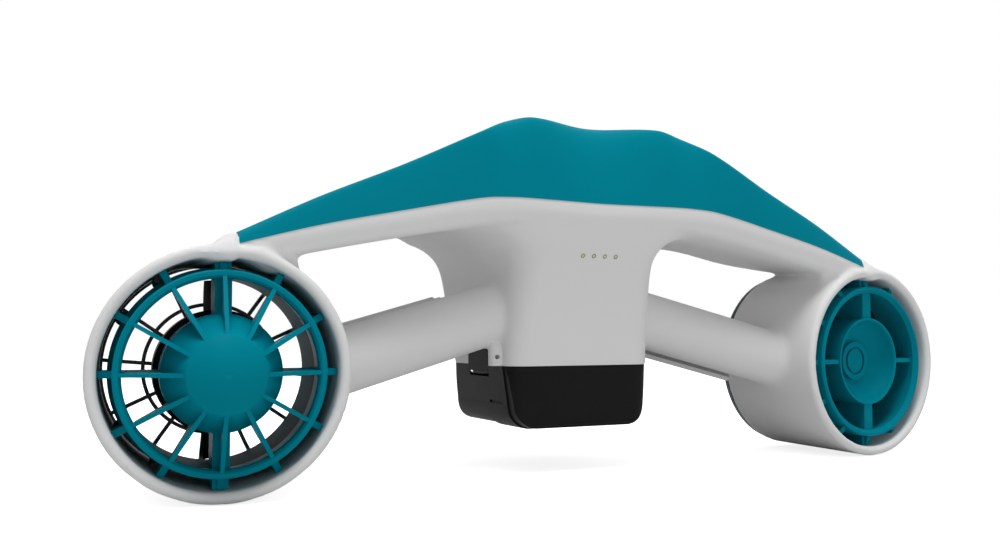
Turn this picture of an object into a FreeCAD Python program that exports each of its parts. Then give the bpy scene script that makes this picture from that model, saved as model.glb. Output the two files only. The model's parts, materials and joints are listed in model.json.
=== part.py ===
import FreeCAD, Part
import math
import os
import re
import Sketcher

# Underwater scooter: a wing-shaped hull with two ducted thrusters, two tube grips with finger
# triggers, and a battery pack that closes the tower from below. Millimetres and degrees.
# X is to the right seen from behind, +Y is the way it travels, +Z is up.
# Pieces are drawn from the plane of the nozzle rings and the height of the thruster axes, and
# their placements bring that point to the middle of the part, over the lowest point of the ducts.

os.makedirs("parts", exist_ok=True)
doc = FreeCAD.newDocument("underwater_scooter")
sheet = doc.addObject("Spreadsheet::Sheet", "sizes")

# Driving dimensions

SIZES = {
    "overall layout": {
        "duct_center": 192.3,        # thruster axis to the middle of the part
        "toe_angle": 5.8,            # the thrusters point this much inwards at the front
        "nose_reach": 160.0,         # nose tip ahead of the nozzle ring plane
        "seam_gap": 0.15,            # between top shell and hull, and other moulded joints
        "seat_gap": 0.2,             # between a piece and the curved wall that holds it
        "running_gap": 0.04,         # radial, shaft in bearing and pin in barrel
        "shell_wall": 3.0,
    },
    "duct": {
        "duct_radius": 56.2,
        "duct_taper": 2.0,           # smaller outside radius at the front rim
        "duct_bore": 51.0,
        "duct_length": 70.0,
        "lip_reach": 1.5,            # rear lip behind the nozzle ring plane
        "rim_round": 3.0,
    },
    "nozzle": {
        "ring_radius": 45.0,
        "ring_mouth": 41.2,
        "ring_throat": 43.6,
        "ring_chamfer": 0.8,
        "nozzle_length": 24.0,
        "flange_radius": 47.2,
        "flange_thickness": 2.0,
        "tab_width": 3.0,
        "pylon_width": 7.0,
        "strut_width": 7.4,
        "vane_width": 2.6,
        "strut_start": 4.0,
        "hub_radius": 26.0,
        "hub_start": 3.0,
        "hub_length": 27.0,
        "cup_radius": 24.4,
        "cup_floor": 15.6,
        "cup_curve": 15.0,
        "boss_radius": 11.5,
        "boss_height": 2.6,
        "boss_groove": 8.0,
        "tab_count": 12,
    },
    "rear guard": {
        "guard_ring_height": 2.4,
        "rib_width": 1.8,
        "rib_depth": 3.0,
        "rib_count": 12,
        "dome_radius": 16.6,
        "dome_start": 19.0,
        "dome_reach": 24.5,
        "guard_wall": 2.4,
    },
    "propeller ring": {
        "tunnel_radius": 44.0,
        "tunnel_outside": 46.7,
        "tunnel_end": 62.0,
        "lug_center": 47.6,
        "lug_round": 3.1,
        "lug_thickness": 6.0,
        "lug_near_angle": 30.0,
        "lug_steep_angle": 57.0,
        "screw_circle": 49.1,
        "screw_radius": 0.9,
        "screw_gap": 0.05,
        "screw_length": 12.0,
        "screw_head_radius": 1.6,
        "screw_head_height": 1.4,
        "duct_boss_width": 5.2,
        "duct_boss_length": 12.0,
    },
    "intake guard": {
        "rim_ring_radius": 52.8,
        "rim_ring_width": 3.0,
        "guard_thickness": 2.2,
        "bar_width": 1.8,
        "bar_count": 12,
        "bar_turn": -5.0,
        "bar_bend": 5.0,
        "leg_thickness": 2.0,
        "middle_ring_radius": 32.4,
        "middle_ring_width": 1.8,
        "nose_disc_radius": 9.0,
        "nose_disc_thickness": 3.0,
    },
    "motor": {
        "motor_radius": 28.3,
        "motor_length": 18.0,
        "motor_cover": 3.5,
        "motor_wall": 3.4,
        "stator_radius": 24.8,
        "stator_bore": 15.6,
        "stator_yoke": 3.6,
        "stator_length": 12.0,
        "stator_teeth": 9,
        "tooth_width": 5.0,
        "rotor_radius": 14.9,
        "rotor_length": 10.0,
        "shaft_radius": 4.0,
        "bearing_radius": 8.0,
        "bearing_width": 5.0,
        "seal_radius": 7.0,
        "seal_width": 3.0,
    },
    "propeller": {
        "prop_gap": 0.8,             # between motor cover and propeller hub
        "prop_hub_radius": 20.5,
        "prop_hub_length": 12.0,
        "prop_hub_tail": 10.0,
        "blade_count": 2,
        "blade_tip_gap": 1.0,
        "blade_root_chord": 13.0,
        "blade_middle_chord": 14.5,
        "blade_tip_chord": 12.0,
        "blade_root_pitch": 62.0,
        "blade_middle_pitch": 55.0,
        "blade_tip_pitch": 48.0,
        "blade_thickness": 2.4,
        "blade_tip_thickness": 1.2,
        "nut_radius": 6.0,
        "nut_height": 4.5,
    },
    "tower": {
        "tower_width": 43.4,         # half width from the parting line to the neck
        "tower_near": 17.0,
        "tower_far": 97.0,
        "tower_corner": 11.0,
        "waist_height": 30.0,
        "waist_near": 12.3,
        "waist_far": 111.5,
        "waist_corner": 13.0,
        "neck_height": 52.0,
        "neck_near": 6.8,
        "neck_far": 124.0,
        "neck_corner": 16.0,
        "tower_height": 66.3,
        "crown_width": 47.0,
        "crown_near": -2.0,
        "crown_far": 130.0,
        "crown_corner": 20.0,
        "collar_height": 77.6,       # top of the hull's flare over the tower
        "collar_width": 58.0,
        "collar_near": -3.6,
        "collar_far": 76.0,
        "bay_width": 35.0,
        "bay_near": 25.0,
        "bay_far": 92.0,
        "bay_height": 40.0,
        "bay_corner": 6.0,
        "lanyard_at": 33.0,
        "lanyard_boss_radius": 4.0,
        "lanyard_boss_height": 9.0,
        "lanyard_offset": 1.6,
        "lanyard_hole_offset": 2.4,
        "lanyard_hole_radius": 1.25,
        "lanyard_hole_height": 4.7,
        "gauge_height": 57.4,
        "gauge_pitch": 6.7,
        "gauge_radius": 1.3,
        "gauge_count": 4,
        "gauge_front": 0.9,
        "gauge_board_width": 28.0,
        "gauge_board_height": 9.0,
        "board_thickness": 1.4,
        "gauge_pocket_near": 8.0,
        "gauge_pocket_depth": 5.0,
    },
    "battery pack": {
        "pack_depth": 32.6,
        "pack_taper": 3.2,
        "pack_round": 12.5,
        "pack_end_taper": 2.0,
        "pack_end_corner": 10.0,
        "plug_gap": 0.5,
        "plug_height": 36.0,
        "pack_wall": 2.4,
        "lid_thickness": 2.4,
        "cell_radius": 9.1,
        "cell_length": 58.0,
        "cell_pitch": 18.5,
        "seal_height": 6.0,
        "pack_seal_width": 2.0,
        "groove_depth": 1.4,
        "strip_near": 27.5,
        "strip_far": 54.0,
        "strip_raise": 0.8,
        "slot_length": 14.5,
        "slot_width": 1.5,
        "slot_drop": 20.2,
        "contact_width": 4.0,
        "contact_length": 12.0,
        "contact_height": 1.2,
        "contact_pitch": 14.0,
        "contact_block_height": 5.0,
        "pack_travel": 45.0,
    },
    "latch": {
        "latch_near": 45.4,
        "latch_far": 70.4,
        "latch_gap": 0.4,
        "latch_height": 9.2,
        "latch_notch": 3.4,
        "latch_thickness": 2.2,
        "latch_stand": 1.5,
        "tooth_depth": 1.2,
        "tooth_height": 1.6,
        "tooth_at": 6.0,
        "latch_pin_radius": 1.0,
        "latch_barrel_radius": 2.2,
        "latch_pin_drop": 3.4,
        "latch_spring_length": 4.0,
        "latch_reach": 2.6,          # room outside the tower for the open latch
    },
    "grip": {
        "grip_radius": 16.1,
        "grip_wall": 3.0,
        "grip_inner_end": 41.0,      # from the middle of the grip towards the tower
        "grip_outer_end": 36.0,      # and towards the duct
        "grip_stub_length": 19.0,
        "grip_center_across": 92.5,
        "grip_center_along": 34.6,
        "grip_center_height": 13.9,
        "grip_sweep": 8.8,
        "grip_dip": 14.9,
        "trigger_half_length": 31.0,
        "trigger_thickness": 3.0,
        "trigger_curve": 20.0,
        "trigger_middle_out": 2.5,
        "trigger_middle_drop": 2.5,
        "trigger_top_angle": 50.4,
        "trigger_bottom_angle": 50.0,
        "trigger_barrel_radius": 3.2,
        "trigger_pin_radius": 1.2,
        "trigger_ear_width": 3.5,
        "trigger_ear_gap": 0.5,
        "trigger_spring_length": 4.0,
    },
    "hull fittings": {
        "board_width": 84.0,
        "board_length": 60.0,
        "board_at": 60.0,
        "board_post_radius": 3.0,
        "board_post_height": 5.0,
        "camera_at": 138.0,
        "insert_radius": 5.0,
        "insert_bore": 2.6,
        "insert_length": 6.6,
        "insert_boss_wall": 2.4,
        "insert_boss_floor": 1.0,
    },
}

# Wing sections from the middle outwards. Each has: distance from the middle, near edge, seam
# height, crease height under the seam, belly height, far edge, far seam height, ridge height
# and the place of the ridge.
WING = {
    "center": (0.0, -4.0, 84.0, 78.6, 66.0, 160.0, 72.0, 126.1, 13.8),
    "hump": (38.0, -5.0, 84.0, 78.2, 65.8, 146.0, 73.0, 127.2, 4.3),
    "flank": (54.0, -6.0, 83.6, 77.4, 67.6, 133.0, 74.5, 123.5, 4.0),
    "shoulder": (71.0, -7.0, 82.6, 76.0, 69.4, 118.0, 75.5, 115.7, -3.0),
    "arm": (110.0, -5.5, 75.5, 68.5, 63.2, 97.0, 71.0, 97.1, -2.0),
    "root": (150.0, -3.0, 67.0, 60.5, 54.4, 84.0, 62.5, 79.7, 0.5),
    "tip": (186.0, 0.0, 58.5, 52.0, 46.0, 60.0, 57.5, 62.2, 4.3),
}
WING_PARTS = ("across", "near", "seam", "crease", "belly", "far", "far_seam", "ridge", "ridge_at")
SECTIONS_PER_BAY = 3
INNER_STATIONS = ("center", "hump", "flank", "shoulder", "arm", "root")
NEAR_FACE = (1.0, 0.85, 0.65, 0.45, 0.25, 0.1)
BACK_SLOPE = (0.0, 0.03, 0.08, 0.17, 0.33, 0.55, 0.8, 1.0)


def fill_sheet():
    """Write every driving dimension into the sheet, one row each, with its alias."""
    row = 1
    for heading, values in SIZES.items():
        sheet.set("A%d" % row, heading)
        row += 1
        for name, number in values.items():
            row = add_size(row, name, number)
    sheet.set("A%d" % row, "wing sections")
    row += 1
    for station, numbers in WING.items():
        for part, number in zip(WING_PARTS, numbers):
            row = add_size(row, station + "_" + part, number)
    doc.recompute()


def add_size(row, name, number):
    """Write one dimension and return the next row."""
    sheet.set("A%d" % row, name)
    sheet.set("B%d" % row, str(number))
    sheet.setAlias("B%d" % row, name)
    return row + 1


fill_sheet()
ALIASES = set(name for values in SIZES.values() for name in values)
ALIASES |= set(station + "_" + part for station in WING for part in WING_PARTS)

# Helpers: expressions and placements


def bound(expression):
    """Give each size in an expression the name of the sheet that holds it."""
    def with_sheet(match):
        word = match.group(0)
        return "sizes." + word if word in ALIASES else word
    return re.sub(r"[a-z_]+", with_sheet, str(expression))


def number(expression):
    """Value of an expression now."""
    value = sheet.evalExpression(bound(expression))
    return float(getattr(value, "Value", value))


AXIS_HEIGHT = "duct_radius"
RING_PLANE = "((dome_reach * cos(toe_angle) - nose_reach) / 2)"
SIDES = {"left": -1, "right": 1}


def place(thing, across=0, along=0, up=0, yaw=0, pitch=0, roll=0):
    """Bind a placement to an expression, from the ring plane and the axis height."""
    spot = "vector(%s; %s + %s; %s + %s)" % (across, RING_PLANE, along, AXIS_HEIGHT, up)
    turn = "rotation(%s; %s; %s)" % (yaw, pitch, roll)
    thing.setExpression("Placement", bound("placement(%s; %s)" % (spot, turn)))
    return thing


def place_thruster(thing, side):
    """Local Z runs forward along the thruster axis, local X to the right, local Y down."""
    sign = SIDES[side]
    return place(thing, "%d * duct_center" % sign, 0, 0, "%d * toe_angle" % sign, 0, -90)


def place_grip(thing, side):
    """Local X runs along the grip to the right, local Y forward, local Z up."""
    sign = SIDES[side]
    across = "%d * grip_center_across" % sign
    yaw = "%d * grip_sweep" % -sign
    pitch = "%d * grip_dip" % sign
    return place(thing, across, "grip_center_along", "grip_center_height", yaw, pitch, 0)


# Helpers: sketches and features


def new_body(label):
    body = doc.addObject("PartDesign::Body", label)
    body.Label = label
    return body


def origin_part(body, role):
    return [item for item in body.Origin.OriginFeatures if item.Role == role][0]


def sketch_on(body, plane, shift="0", turn="0"):
    """Sketch on an origin plane, moved along the plane's normal or turned about its own Z."""
    sketch = body.newObject("Sketcher::SketchObject", "sketch")
    sketch.AttachmentSupport = [(origin_part(body, plane), "")]
    sketch.MapMode = "FlatFace"
    offset = "placement(vector(0; 0; %s); rotation(%s; 0; 0))" % (shift, turn)
    sketch.setExpression("AttachmentOffset", bound(offset))
    return sketch


def arc_through(start, end, radius):
    """Short arc from start to end. A positive radius bulges to the right of the way."""
    chord = end - start
    half = chord.Length / 2
    right = FreeCAD.Vector(chord.y, -chord.x, 0).normalize()
    rise = abs(radius) - math.sqrt(max(radius * radius - half * half, 0))
    middle = (start + end) * 0.5 + right * math.copysign(rise, radius)
    return Part.Arc(start, middle, end)


def add_outline(sketch, corners):
    """Closed outline. A corner is (across, up), or (across, up, radius) after an arc."""
    spots = [FreeCAD.Vector(number(corner[0]), number(corner[1]), 0) for corner in corners]
    pieces = []
    for index, corner in enumerate(corners):
        start = spots[index - 1]
        if len(corner) == 2:
            pieces.append(Part.LineSegment(start, spots[index]))
        else:
            pieces.append(arc_through(start, spots[index], number(corner[2])))
    first = sketch.GeometryCount
    sketch.addGeometry(pieces, False)
    ends = [point_order(sketch, first + index, spots[index]) for index in range(len(corners))]
    for index, corner in enumerate(corners):
        edge = first + index
        before = first + (index - 1) % len(corners)
        start_point = 3 - ends[index]
        sketch.addConstraint(
            Sketcher.Constraint("Coincident", before, ends[index - 1], edge, start_point))
        bind(sketch, Sketcher.Constraint("DistanceX", -1, 1, edge, ends[index], spots[index].x),
             corner[0])
        bind(sketch, Sketcher.Constraint("DistanceY", -1, 1, edge, ends[index], spots[index].y),
             corner[1])
        if len(corner) == 3:
            radius = abs(number(corner[2]))
            bind(sketch, Sketcher.Constraint("Radius", edge, radius), "abs(%s)" % corner[2])
    return sketch


def point_order(sketch, edge, spot):
    """Which end of an edge, 1 or 2, lies at the spot."""
    gap = sketch.getPoint(edge, 1) - spot
    return 1 if gap.Length < 1e-6 else 2


def bind(sketch, constraint, expression):
    index = sketch.addConstraint(constraint)
    sketch.setExpression("Constraints[%d]" % index, bound(expression))


def add_circle(sketch, across, up, radius):
    spot = FreeCAD.Vector(number(across), number(up), 0)
    circle = Part.Circle(spot, FreeCAD.Vector(0, 0, 1), number(radius))
    index = sketch.addGeometry(circle, False)
    bind(sketch, Sketcher.Constraint("Radius", index, number(radius)), radius)
    bind(sketch, Sketcher.Constraint("DistanceX", -1, 1, index, 3, spot.x), across)
    bind(sketch, Sketcher.Constraint("DistanceY", -1, 1, index, 3, spot.y), up)
    return sketch


def add_rounded_box(sketch, left, near, right, far, corner):
    """Rectangle with rounded corners, anticlockwise."""
    inner_left = "(%s) + (%s)" % (left, corner)
    inner_right = "(%s) - (%s)" % (right, corner)
    inner_near = "(%s) + (%s)" % (near, corner)
    inner_far = "(%s) - (%s)" % (far, corner)
    return add_outline(sketch, [
        (inner_right, near), (right, inner_near, corner), (right, inner_far),
        (inner_right, far, corner), (inner_left, far), (left, inner_far, corner),
        (left, inner_near), (inner_left, near, corner)])


def extrude(body, kind, sketch, length, both_ways=False, reverse=False):
    """Pad or Pocket of a sketch."""
    feature = body.newObject("PartDesign::" + kind, kind)
    feature.Profile = sketch
    feature.setExpression("Length", bound(length))
    feature.Midplane = both_ways
    feature.Reversed = reverse
    doc.recompute([body])
    return feature


def pad(body, sketch, length, both_ways=False, reverse=False):
    return extrude(body, "Pad", sketch, length, both_ways, reverse)


def pocket(body, sketch, length, both_ways=False, reverse=False):
    """Pocket that must take material away."""
    before = body.Shape.Volume
    feature = extrude(body, "Pocket", sketch, length, both_ways, reverse)
    if not body.Shape.Volume < before - 1e-3:
        raise ValueError("a pocket of %s cuts nothing" % body.Label)
    return feature


def turned(body, corners, kind="Revolution"):
    """Solid, or groove, of revolution about the body's Z axis. Corners are (radius, along)."""
    sketch = add_outline(sketch_on(body, "XZ_Plane"), corners)
    feature = body.newObject("PartDesign::" + kind, kind)
    feature.Profile = sketch
    feature.ReferenceAxis = (sketch, ["V_Axis"])
    feature.Angle = 360
    doc.recompute([body])
    return feature


def loft_through(body, sketches):
    loft = body.newObject("PartDesign::AdditiveLoft", "loft")
    loft.Profile = sketches[0]
    loft.Sections = sketches[1:]
    doc.recompute([body])
    return body


def around(body, feature, count):
    """Repeat a feature evenly about the body's Z axis."""
    pattern = body.newObject("PartDesign::PolarPattern", "PolarPattern")
    pattern.Originals = [feature]
    pattern.Axis = (origin_part(body, "Z_Axis"), [""])
    pattern.Angle = 360
    pattern.setExpression("Occurrences", bound(count))
    body.Tip = pattern
    doc.recompute([body])
    return pattern


def joined(label, pieces):
    fusion = doc.addObject("Part::MultiFuse", label)
    fusion.Label = label
    fusion.Shapes = pieces
    return fusion


def trimmed(label, base, tool):
    cut = doc.addObject("Part::Cut", label)
    cut.Label = label
    cut.Base = base
    cut.Tool = tool
    return cut


def cylinder(label, radius, length):
    item = doc.addObject("Part::Cylinder", label)
    item.Label = label
    item.setExpression("Radius", bound(radius))
    item.setExpression("Height", bound(length))
    return item


def block(label, width, length, height):
    item = doc.addObject("Part::Box", label)
    item.Label = label
    item.setExpression("Length", bound(width))
    item.setExpression("Width", bound(length))
    item.setExpression("Height", bound(height))
    return item


def grouped(label, pieces):
    """Identical separate solids in one node."""
    group = doc.addObject("Part::Compound", label)
    group.Label = label
    group.Links = pieces
    return group


# Wing: hull below the seam, top shell above it


def station(name):
    """The sizes of one wing section, read from the sheet."""
    return {part: float(sheet.get(name + "_" + part)) for part in WING_PARTS}


def slope_at(stations, index, part):
    """Change of a size per millimetre across, at one station; flat in the middle of the part."""
    if index == 0:
        return 0.0
    before = stations[index - 1]
    after = stations[min(index + 1, len(stations) - 1)]
    return (after[part] - before[part]) / (after["across"] - before["across"])


def between(stations, index, share):
    """Section between two stations, on a cubic curve that runs smoothly through them."""
    low, high = stations[index], stations[index + 1]
    step = high["across"] - low["across"]
    start_weight = 2 * share ** 3 - 3 * share ** 2 + 1
    start_slope = (share ** 3 - 2 * share ** 2 + share) * step
    end_slope = (share ** 3 - share ** 2) * step
    cut = {}
    for part in WING_PARTS:
        cut[part] = (start_weight * low[part] + (1 - start_weight) * high[part]
                     + start_slope * slope_at(stations, index, part)
                     + end_slope * slope_at(stations, index + 1, part))
    cut["across"] = low["across"] + share * step
    return cut


def sections(names):
    """All sections of one half of the wing: the stations and the ones between them."""
    stations = [station(name) for name in names]
    cuts = []
    for index in range(len(stations) - 1):
        cuts += [between(stations, index, part / SECTIONS_PER_BAY)
                 for part in range(SECTIONS_PER_BAY)]
    return cuts + [stations[-1]]


def spot_at(sign, cut):
    """Maker of points in the plane of one wing section."""
    return lambda along, up: FreeCAD.Vector(sign * cut["across"], along, up)


def smooth_edge(points):
    curve = Part.BSplineCurve()
    curve.interpolate(points)
    return curve.toShape()


def hull_section(cut, sign, inset):
    """Near band, rounded belly, far band and the straight seam line, as one wire."""
    at = spot_at(sign, cut)
    far_band = 3.5 if inset == 0 else 1.0
    top = 1.0 if inset else -number("seam_gap")
    near = at(cut["near"] + inset, cut["seam"] + top)
    crease = at(cut["near"] + inset + 0.6, cut["crease"] + inset / 2)
    corner = at(cut["near"] + inset + 16.0, cut["belly"] + inset + 3.0)
    belly = at((cut["near"] + cut["far"]) / 2, cut["belly"] + inset)
    tail = at(cut["far"] - inset, cut["far_seam"] - far_band)
    far = at(cut["far"] - inset, cut["far_seam"] + top)
    edges = [Part.LineSegment(near, crease).toShape(), smooth_edge([crease, corner, belly, tail]),
             Part.LineSegment(tail, far).toShape(), Part.LineSegment(far, near).toShape()]
    return Part.Wire(edges)


def top_section(cut, sign, inset):
    """Steep near face, rounded ridge, long slope to the far edge and the straight seam line."""
    at = spot_at(sign, cut)
    drop = 1.0 if inset else 0.0
    near, far = cut["near"] + inset, cut["far"] - 2 * inset
    ridge, ridge_at = cut["ridge"] - inset, cut["ridge_at"] + inset
    points = []
    for share in NEAR_FACE:
        height = 1 - 0.6 * share ** 2 - 0.4 * share ** 4
        points.append(at(ridge_at - share * (ridge_at - near),
                         cut["seam"] - drop + (ridge - cut["seam"] + drop) * height))
    for share in BACK_SLOPE:
        height = 1 - 1.875 * share ** 2 + 0.875 * share ** 3
        points.append(at(ridge_at + share * (far - ridge_at),
                         cut["far_seam"] - drop + (ridge - cut["far_seam"] + drop) * height))
    edges = [smooth_edge(points), Part.LineSegment(points[-1], points[0]).toShape()]
    return Part.Wire(edges)


def lofted(label, section, names, inset):
    """Loft through wing sections, in the frame of the ring plane."""
    cuts = sections(names)
    wires = [section(cut, -1, inset) for cut in reversed(cuts[1:])]
    wires += [section(cut, 1, inset) for cut in cuts]
    item = doc.addObject("Part::Feature", label)
    item.Label = label
    item.Shape = Part.makeLoft(wires, True, False)
    return place(item)


def slab(label, across, half_width):
    """Tall block over the whole depth of the wing, from its inner face outwards."""
    item = block(label, half_width, "nose_reach + 60", "200")
    return place(item, across, -30, -20)


def top_shell():
    outer = lofted("top_outside", top_section, list(WING), 0)
    inner = lofted("top_inside", top_section, INNER_STATIONS, number("shell_wall"))
    return trimmed("top_shell", outer, inner)


def hull_shell(wing):
    """Middle part of the wing under the seam, hollow from above, with board posts and a boss."""
    middle = slab("hull_limits", "-root_across", "2 * root_across")
    body = doc.addObject("Part::Common", "hull_outside")
    body.Base = wing
    body.Tool = middle
    collar = new_body("hull_collar")
    low = sketch_on(collar, "XY_Plane", "tower_height")
    add_rounded_box(low, "-crown_width", "crown_near", "crown_width", "crown_far", "crown_corner")
    high = sketch_on(collar, "XY_Plane", "collar_height")
    add_rounded_box(high, "-collar_width", "collar_near", "collar_width", "collar_far",
                    "crown_corner")
    place(loft_through(collar, [low, high]))
    under = block("under_tower", "2 * crown_width + 20", "nose_reach", "20")
    place(under, "-crown_width - 10", -30, "tower_height - 20")
    hollow = lofted("hull_inside", hull_section, INNER_STATIONS, number("shell_wall"))
    flush = joined("hull_flared", [trimmed("hull_flush", body, under), collar])
    tub = trimmed("hull_tub", flush, hollow)
    posts = board_posts()
    boss = cylinder("insert_boss", "insert_radius + insert_boss_wall",
                    "insert_length + insert_boss_floor")
    place(boss, 0, "camera_at", "tower_height")
    full = joined("hull_with_bosses", [tub, boss] + posts)
    hole = cylinder("insert_hole", "insert_radius", "insert_length")
    place(hole, 0, "camera_at", "tower_height - 0.5")
    return trimmed("hull_shell", full, hole)


def board_posts():
    posts = []
    for across in (-1, 1):
        for along in (-1, 1):
            post = cylinder("board_post", "board_post_radius", "board_post_height + shell_wall")
            place(post, "%d * (board_width / 2 - 6)" % across,
                  "board_at + %d * (board_length / 2 - 6)" % along, "tower_height")
            posts.append(post)
    return posts


def control_board():
    board = block("board_plate", "board_width", "board_length", "board_thickness")
    level = "tower_height + shell_wall + board_post_height"
    place(board, "-board_width / 2", "board_at - board_length / 2", level)
    chips = []
    for across, along, width in ((-28, -14, 18), (4, -14, 12), (-10, 10, 24)):
        chip = block("board_chip", width, 12, 3)
        place(chip, across, "board_at + %d" % along, level + " + board_thickness")
        chips.append(chip)
    return joined("control_board", [board] + chips)


def camera_insert():
    """Threaded brass insert under the nose, for a camera mount."""
    body = new_body("camera_insert")
    sketch = sketch_on(body, "XY_Plane")
    add_circle(sketch, 0, 0, "insert_radius - running_gap")
    add_circle(sketch, 0, 0, "insert_bore")
    pad(body, sketch, "insert_length - 0.5")
    return place(body, 0, "camera_at", "tower_height")


# Tower with the battery bay, gauge lights and lanyard bosses


def tower_block():
    """Rounded outlines lofted into the tower's form: it grows forward and flares at the top."""
    body = new_body("tower_block")
    sketches = []
    for height, width, level in (("0", "tower_width", "tower"),
                                 ("waist_height", "tower_width", "waist"),
                                 ("neck_height", "tower_width", "neck"),
                                 ("tower_height", "crown_width", "crown")):
        sketch = sketch_on(body, "XY_Plane", height)
        add_rounded_box(sketch, "-" + width, level + "_near", width, level + "_far",
                        level + "_corner")
        sketches.append(sketch)
    return place(loft_through(body, sketches))


def grip_stub(side, end):
    """Short length of grip tube that belongs to the tower (end -1) or to the duct (end 1)."""
    body = new_body("%s_stub" % side)
    way = end * SIDES[side]
    start = "grip_inner_end" if end < 0 else "grip_outer_end"
    sketch = add_circle(sketch_on(body, "YZ_Plane", "%d * %s" % (way, start)), 0, 0,
                        "grip_radius")
    pad(body, sketch, "grip_stub_length", reverse=(way < 0))
    return place_grip(body, side)


def lanyard_boss(sign):
    post = cylinder("boss_post", "lanyard_boss_radius", "lanyard_boss_height")
    center = "%d * (tower_width + lanyard_offset)" % sign
    place(post, center, "lanyard_at", 0, 90 + 90 * sign)
    cap = doc.addObject("Part::Sphere", "boss_cap")
    cap.setExpression("Radius", bound("lanyard_boss_radius"))
    place(cap, center, "lanyard_at", "lanyard_boss_height", 90 + 90 * sign)
    return [post, cap]


def lanyard_hole(sign):
    hole = cylinder("lanyard_hole", "lanyard_hole_radius", "4 * lanyard_boss_radius")
    return place(hole, "%d * (tower_width + lanyard_hole_offset)" % sign,
                 "lanyard_at + 2 * lanyard_boss_radius", "lanyard_hole_height", 0, 0, 90)


def battery_bay():
    body = new_body("battery_bay")
    sketch = sketch_on(body, "XY_Plane", "-1")
    add_rounded_box(sketch, "-bay_width", "bay_near", "bay_width", "bay_far", "bay_corner")
    pad(body, sketch, "bay_height + 1")
    return place(body)


def latch_notch(sign):
    """Recess in the tower's lower edge for a latch, with the slot that its tooth enters."""
    length = "latch_far - latch_near + 2 * latch_gap"
    notch = block("latch_notch", "latch_notch + latch_reach", length,
                  "latch_height + latch_gap + 1")
    inner = "tower_width - latch_notch"
    across = inner if sign > 0 else "-tower_width - latch_reach"
    place(notch, across, "latch_near - latch_gap", -1)
    slot = block("tooth_slot", "tooth_depth + 0.4", "latch_far - latch_near - 8",
                 "tooth_height + 1.2")
    slot_across = "%s - tooth_depth - 0.4" % inner if sign > 0 else "-(%s)" % inner
    place(slot, slot_across, "latch_near + 4", "tooth_at - 0.6")
    return [notch, slot]


def gauge_spot(index):
    return "gauge_pitch * (%d - (gauge_count - 1) / 2)" % index


def gauge_pocket():
    pocket_box = block("gauge_pocket", "gauge_board_width + 2 * seat_gap", "gauge_pocket_depth",
                       "gauge_board_height + 2 * seat_gap")
    place(pocket_box, "-gauge_board_width / 2 - seat_gap", "gauge_pocket_near",
          "gauge_height - gauge_board_height / 2 - seat_gap")
    holes = []
    for index in range(int(number("gauge_count"))):
        hole = cylinder("gauge_hole", "gauge_radius + running_gap", "gauge_pocket_near + 12")
        place(hole, gauge_spot(index), "gauge_pocket_near + 1", "gauge_height", 0, 0, 90)
        holes.append(hole)
    return [pocket_box] + holes


def tower():
    solids = [tower_block()]
    cuts = [battery_bay()] + gauge_pocket()
    for side, sign in SIDES.items():
        solids.append(grip_stub(side, -1))
        solids += lanyard_boss(sign)
        cuts.append(lanyard_hole(sign))
        cuts += latch_notch(sign)
    return trimmed("tower", joined("tower_solid", solids), joined("tower_cuts", cuts))


def gauge_lenses():
    lenses = []
    for index in range(int(number("gauge_count"))):
        lens = cylinder("lens", "gauge_radius", "gauge_pocket_near + seat_gap - gauge_front")
        place(lens, gauge_spot(index), "gauge_pocket_near + seat_gap", "gauge_height", 0, 0, 90)
        lenses.append(lens)
    return grouped("gauge_lenses", lenses)


def gauge_board():
    board = block("gauge_board", "gauge_board_width", "board_thickness", "gauge_board_height")
    return place(board, "-gauge_board_width / 2", "gauge_pocket_near + seat_gap",
                 "gauge_height - gauge_board_height / 2")


# Duct


def duct(side, wing):
    """White tube with a rounded lip, the wing's outer end, a grip stub and inner screw bosses."""
    sign = SIDES[side]
    tube = new_body(side + "_tube")
    lip = "((duct_radius - duct_bore) / 2)"
    turned(tube, [
        ("duct_bore", "%s - lip_reach" % lip), ("duct_bore + %s" % lip, "-lip_reach", lip),
        ("duct_radius", "%s - lip_reach" % lip, lip),
        ("duct_radius - duct_taper", "duct_length - rim_round"),
        ("duct_radius - duct_taper - rim_round", "duct_length", "rim_round"),
        ("duct_bore", "duct_length")])
    place_thruster(tube, side)
    inner = "root_across" if sign > 0 else "-root_across - 60"
    end = slab(side + "_end_limits", inner, "60")
    saddle = doc.addObject("Part::Common", side + "_saddle")
    saddle.Base = wing
    saddle.Tool = end
    outside = joined(side + "_outside", [saddle, grip_stub(side, 1)])
    core = cylinder(side + "_core", "duct_radius - 3", "duct_length + 60")
    core.setExpression("Placement", bound(thruster_shift(sign, "-30")))
    shell = joined(side + "_shell", [trimmed(side + "_ends", outside, core), tube])
    bosses = new_body(side + "_bosses")
    for angle in lug_angles():
        sketch = sketch_on(bosses, "XY_Plane", "nozzle_length + lug_thickness", angle)
        add_outline(sketch, [
            ("tunnel_outside + seat_gap", "-duct_boss_width / 2"),
            ("duct_bore + 2.5", "-duct_boss_width / 2"), ("duct_bore + 2.5", "duct_boss_width / 2"),
            ("tunnel_outside + seat_gap", "duct_boss_width / 2")])
        pad(bosses, sketch, "duct_boss_length")
    place_thruster(bosses, side)
    holes = screw_set(side + "_boss_holes", side, "screw_radius + screw_gap", "screw_length - 2",
                      "nozzle_length + lug_thickness")
    return trimmed(side + "_duct", joined(side + "_duct_solid", [shell, bosses]), holes)


def thruster_shift(sign, along):
    """Placement expression of a cylinder on the thruster axis, moved along it."""
    across = "%d * (duct_center - sin(toe_angle) * (%s))" % (sign, along)
    forward = "%s + cos(toe_angle) * (%s)" % (RING_PLANE, along)
    return "placement(vector(%s; %s; %s); rotation(%d * toe_angle; 0; -90))" % (
        across, forward, AXIS_HEIGHT, sign)


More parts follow.
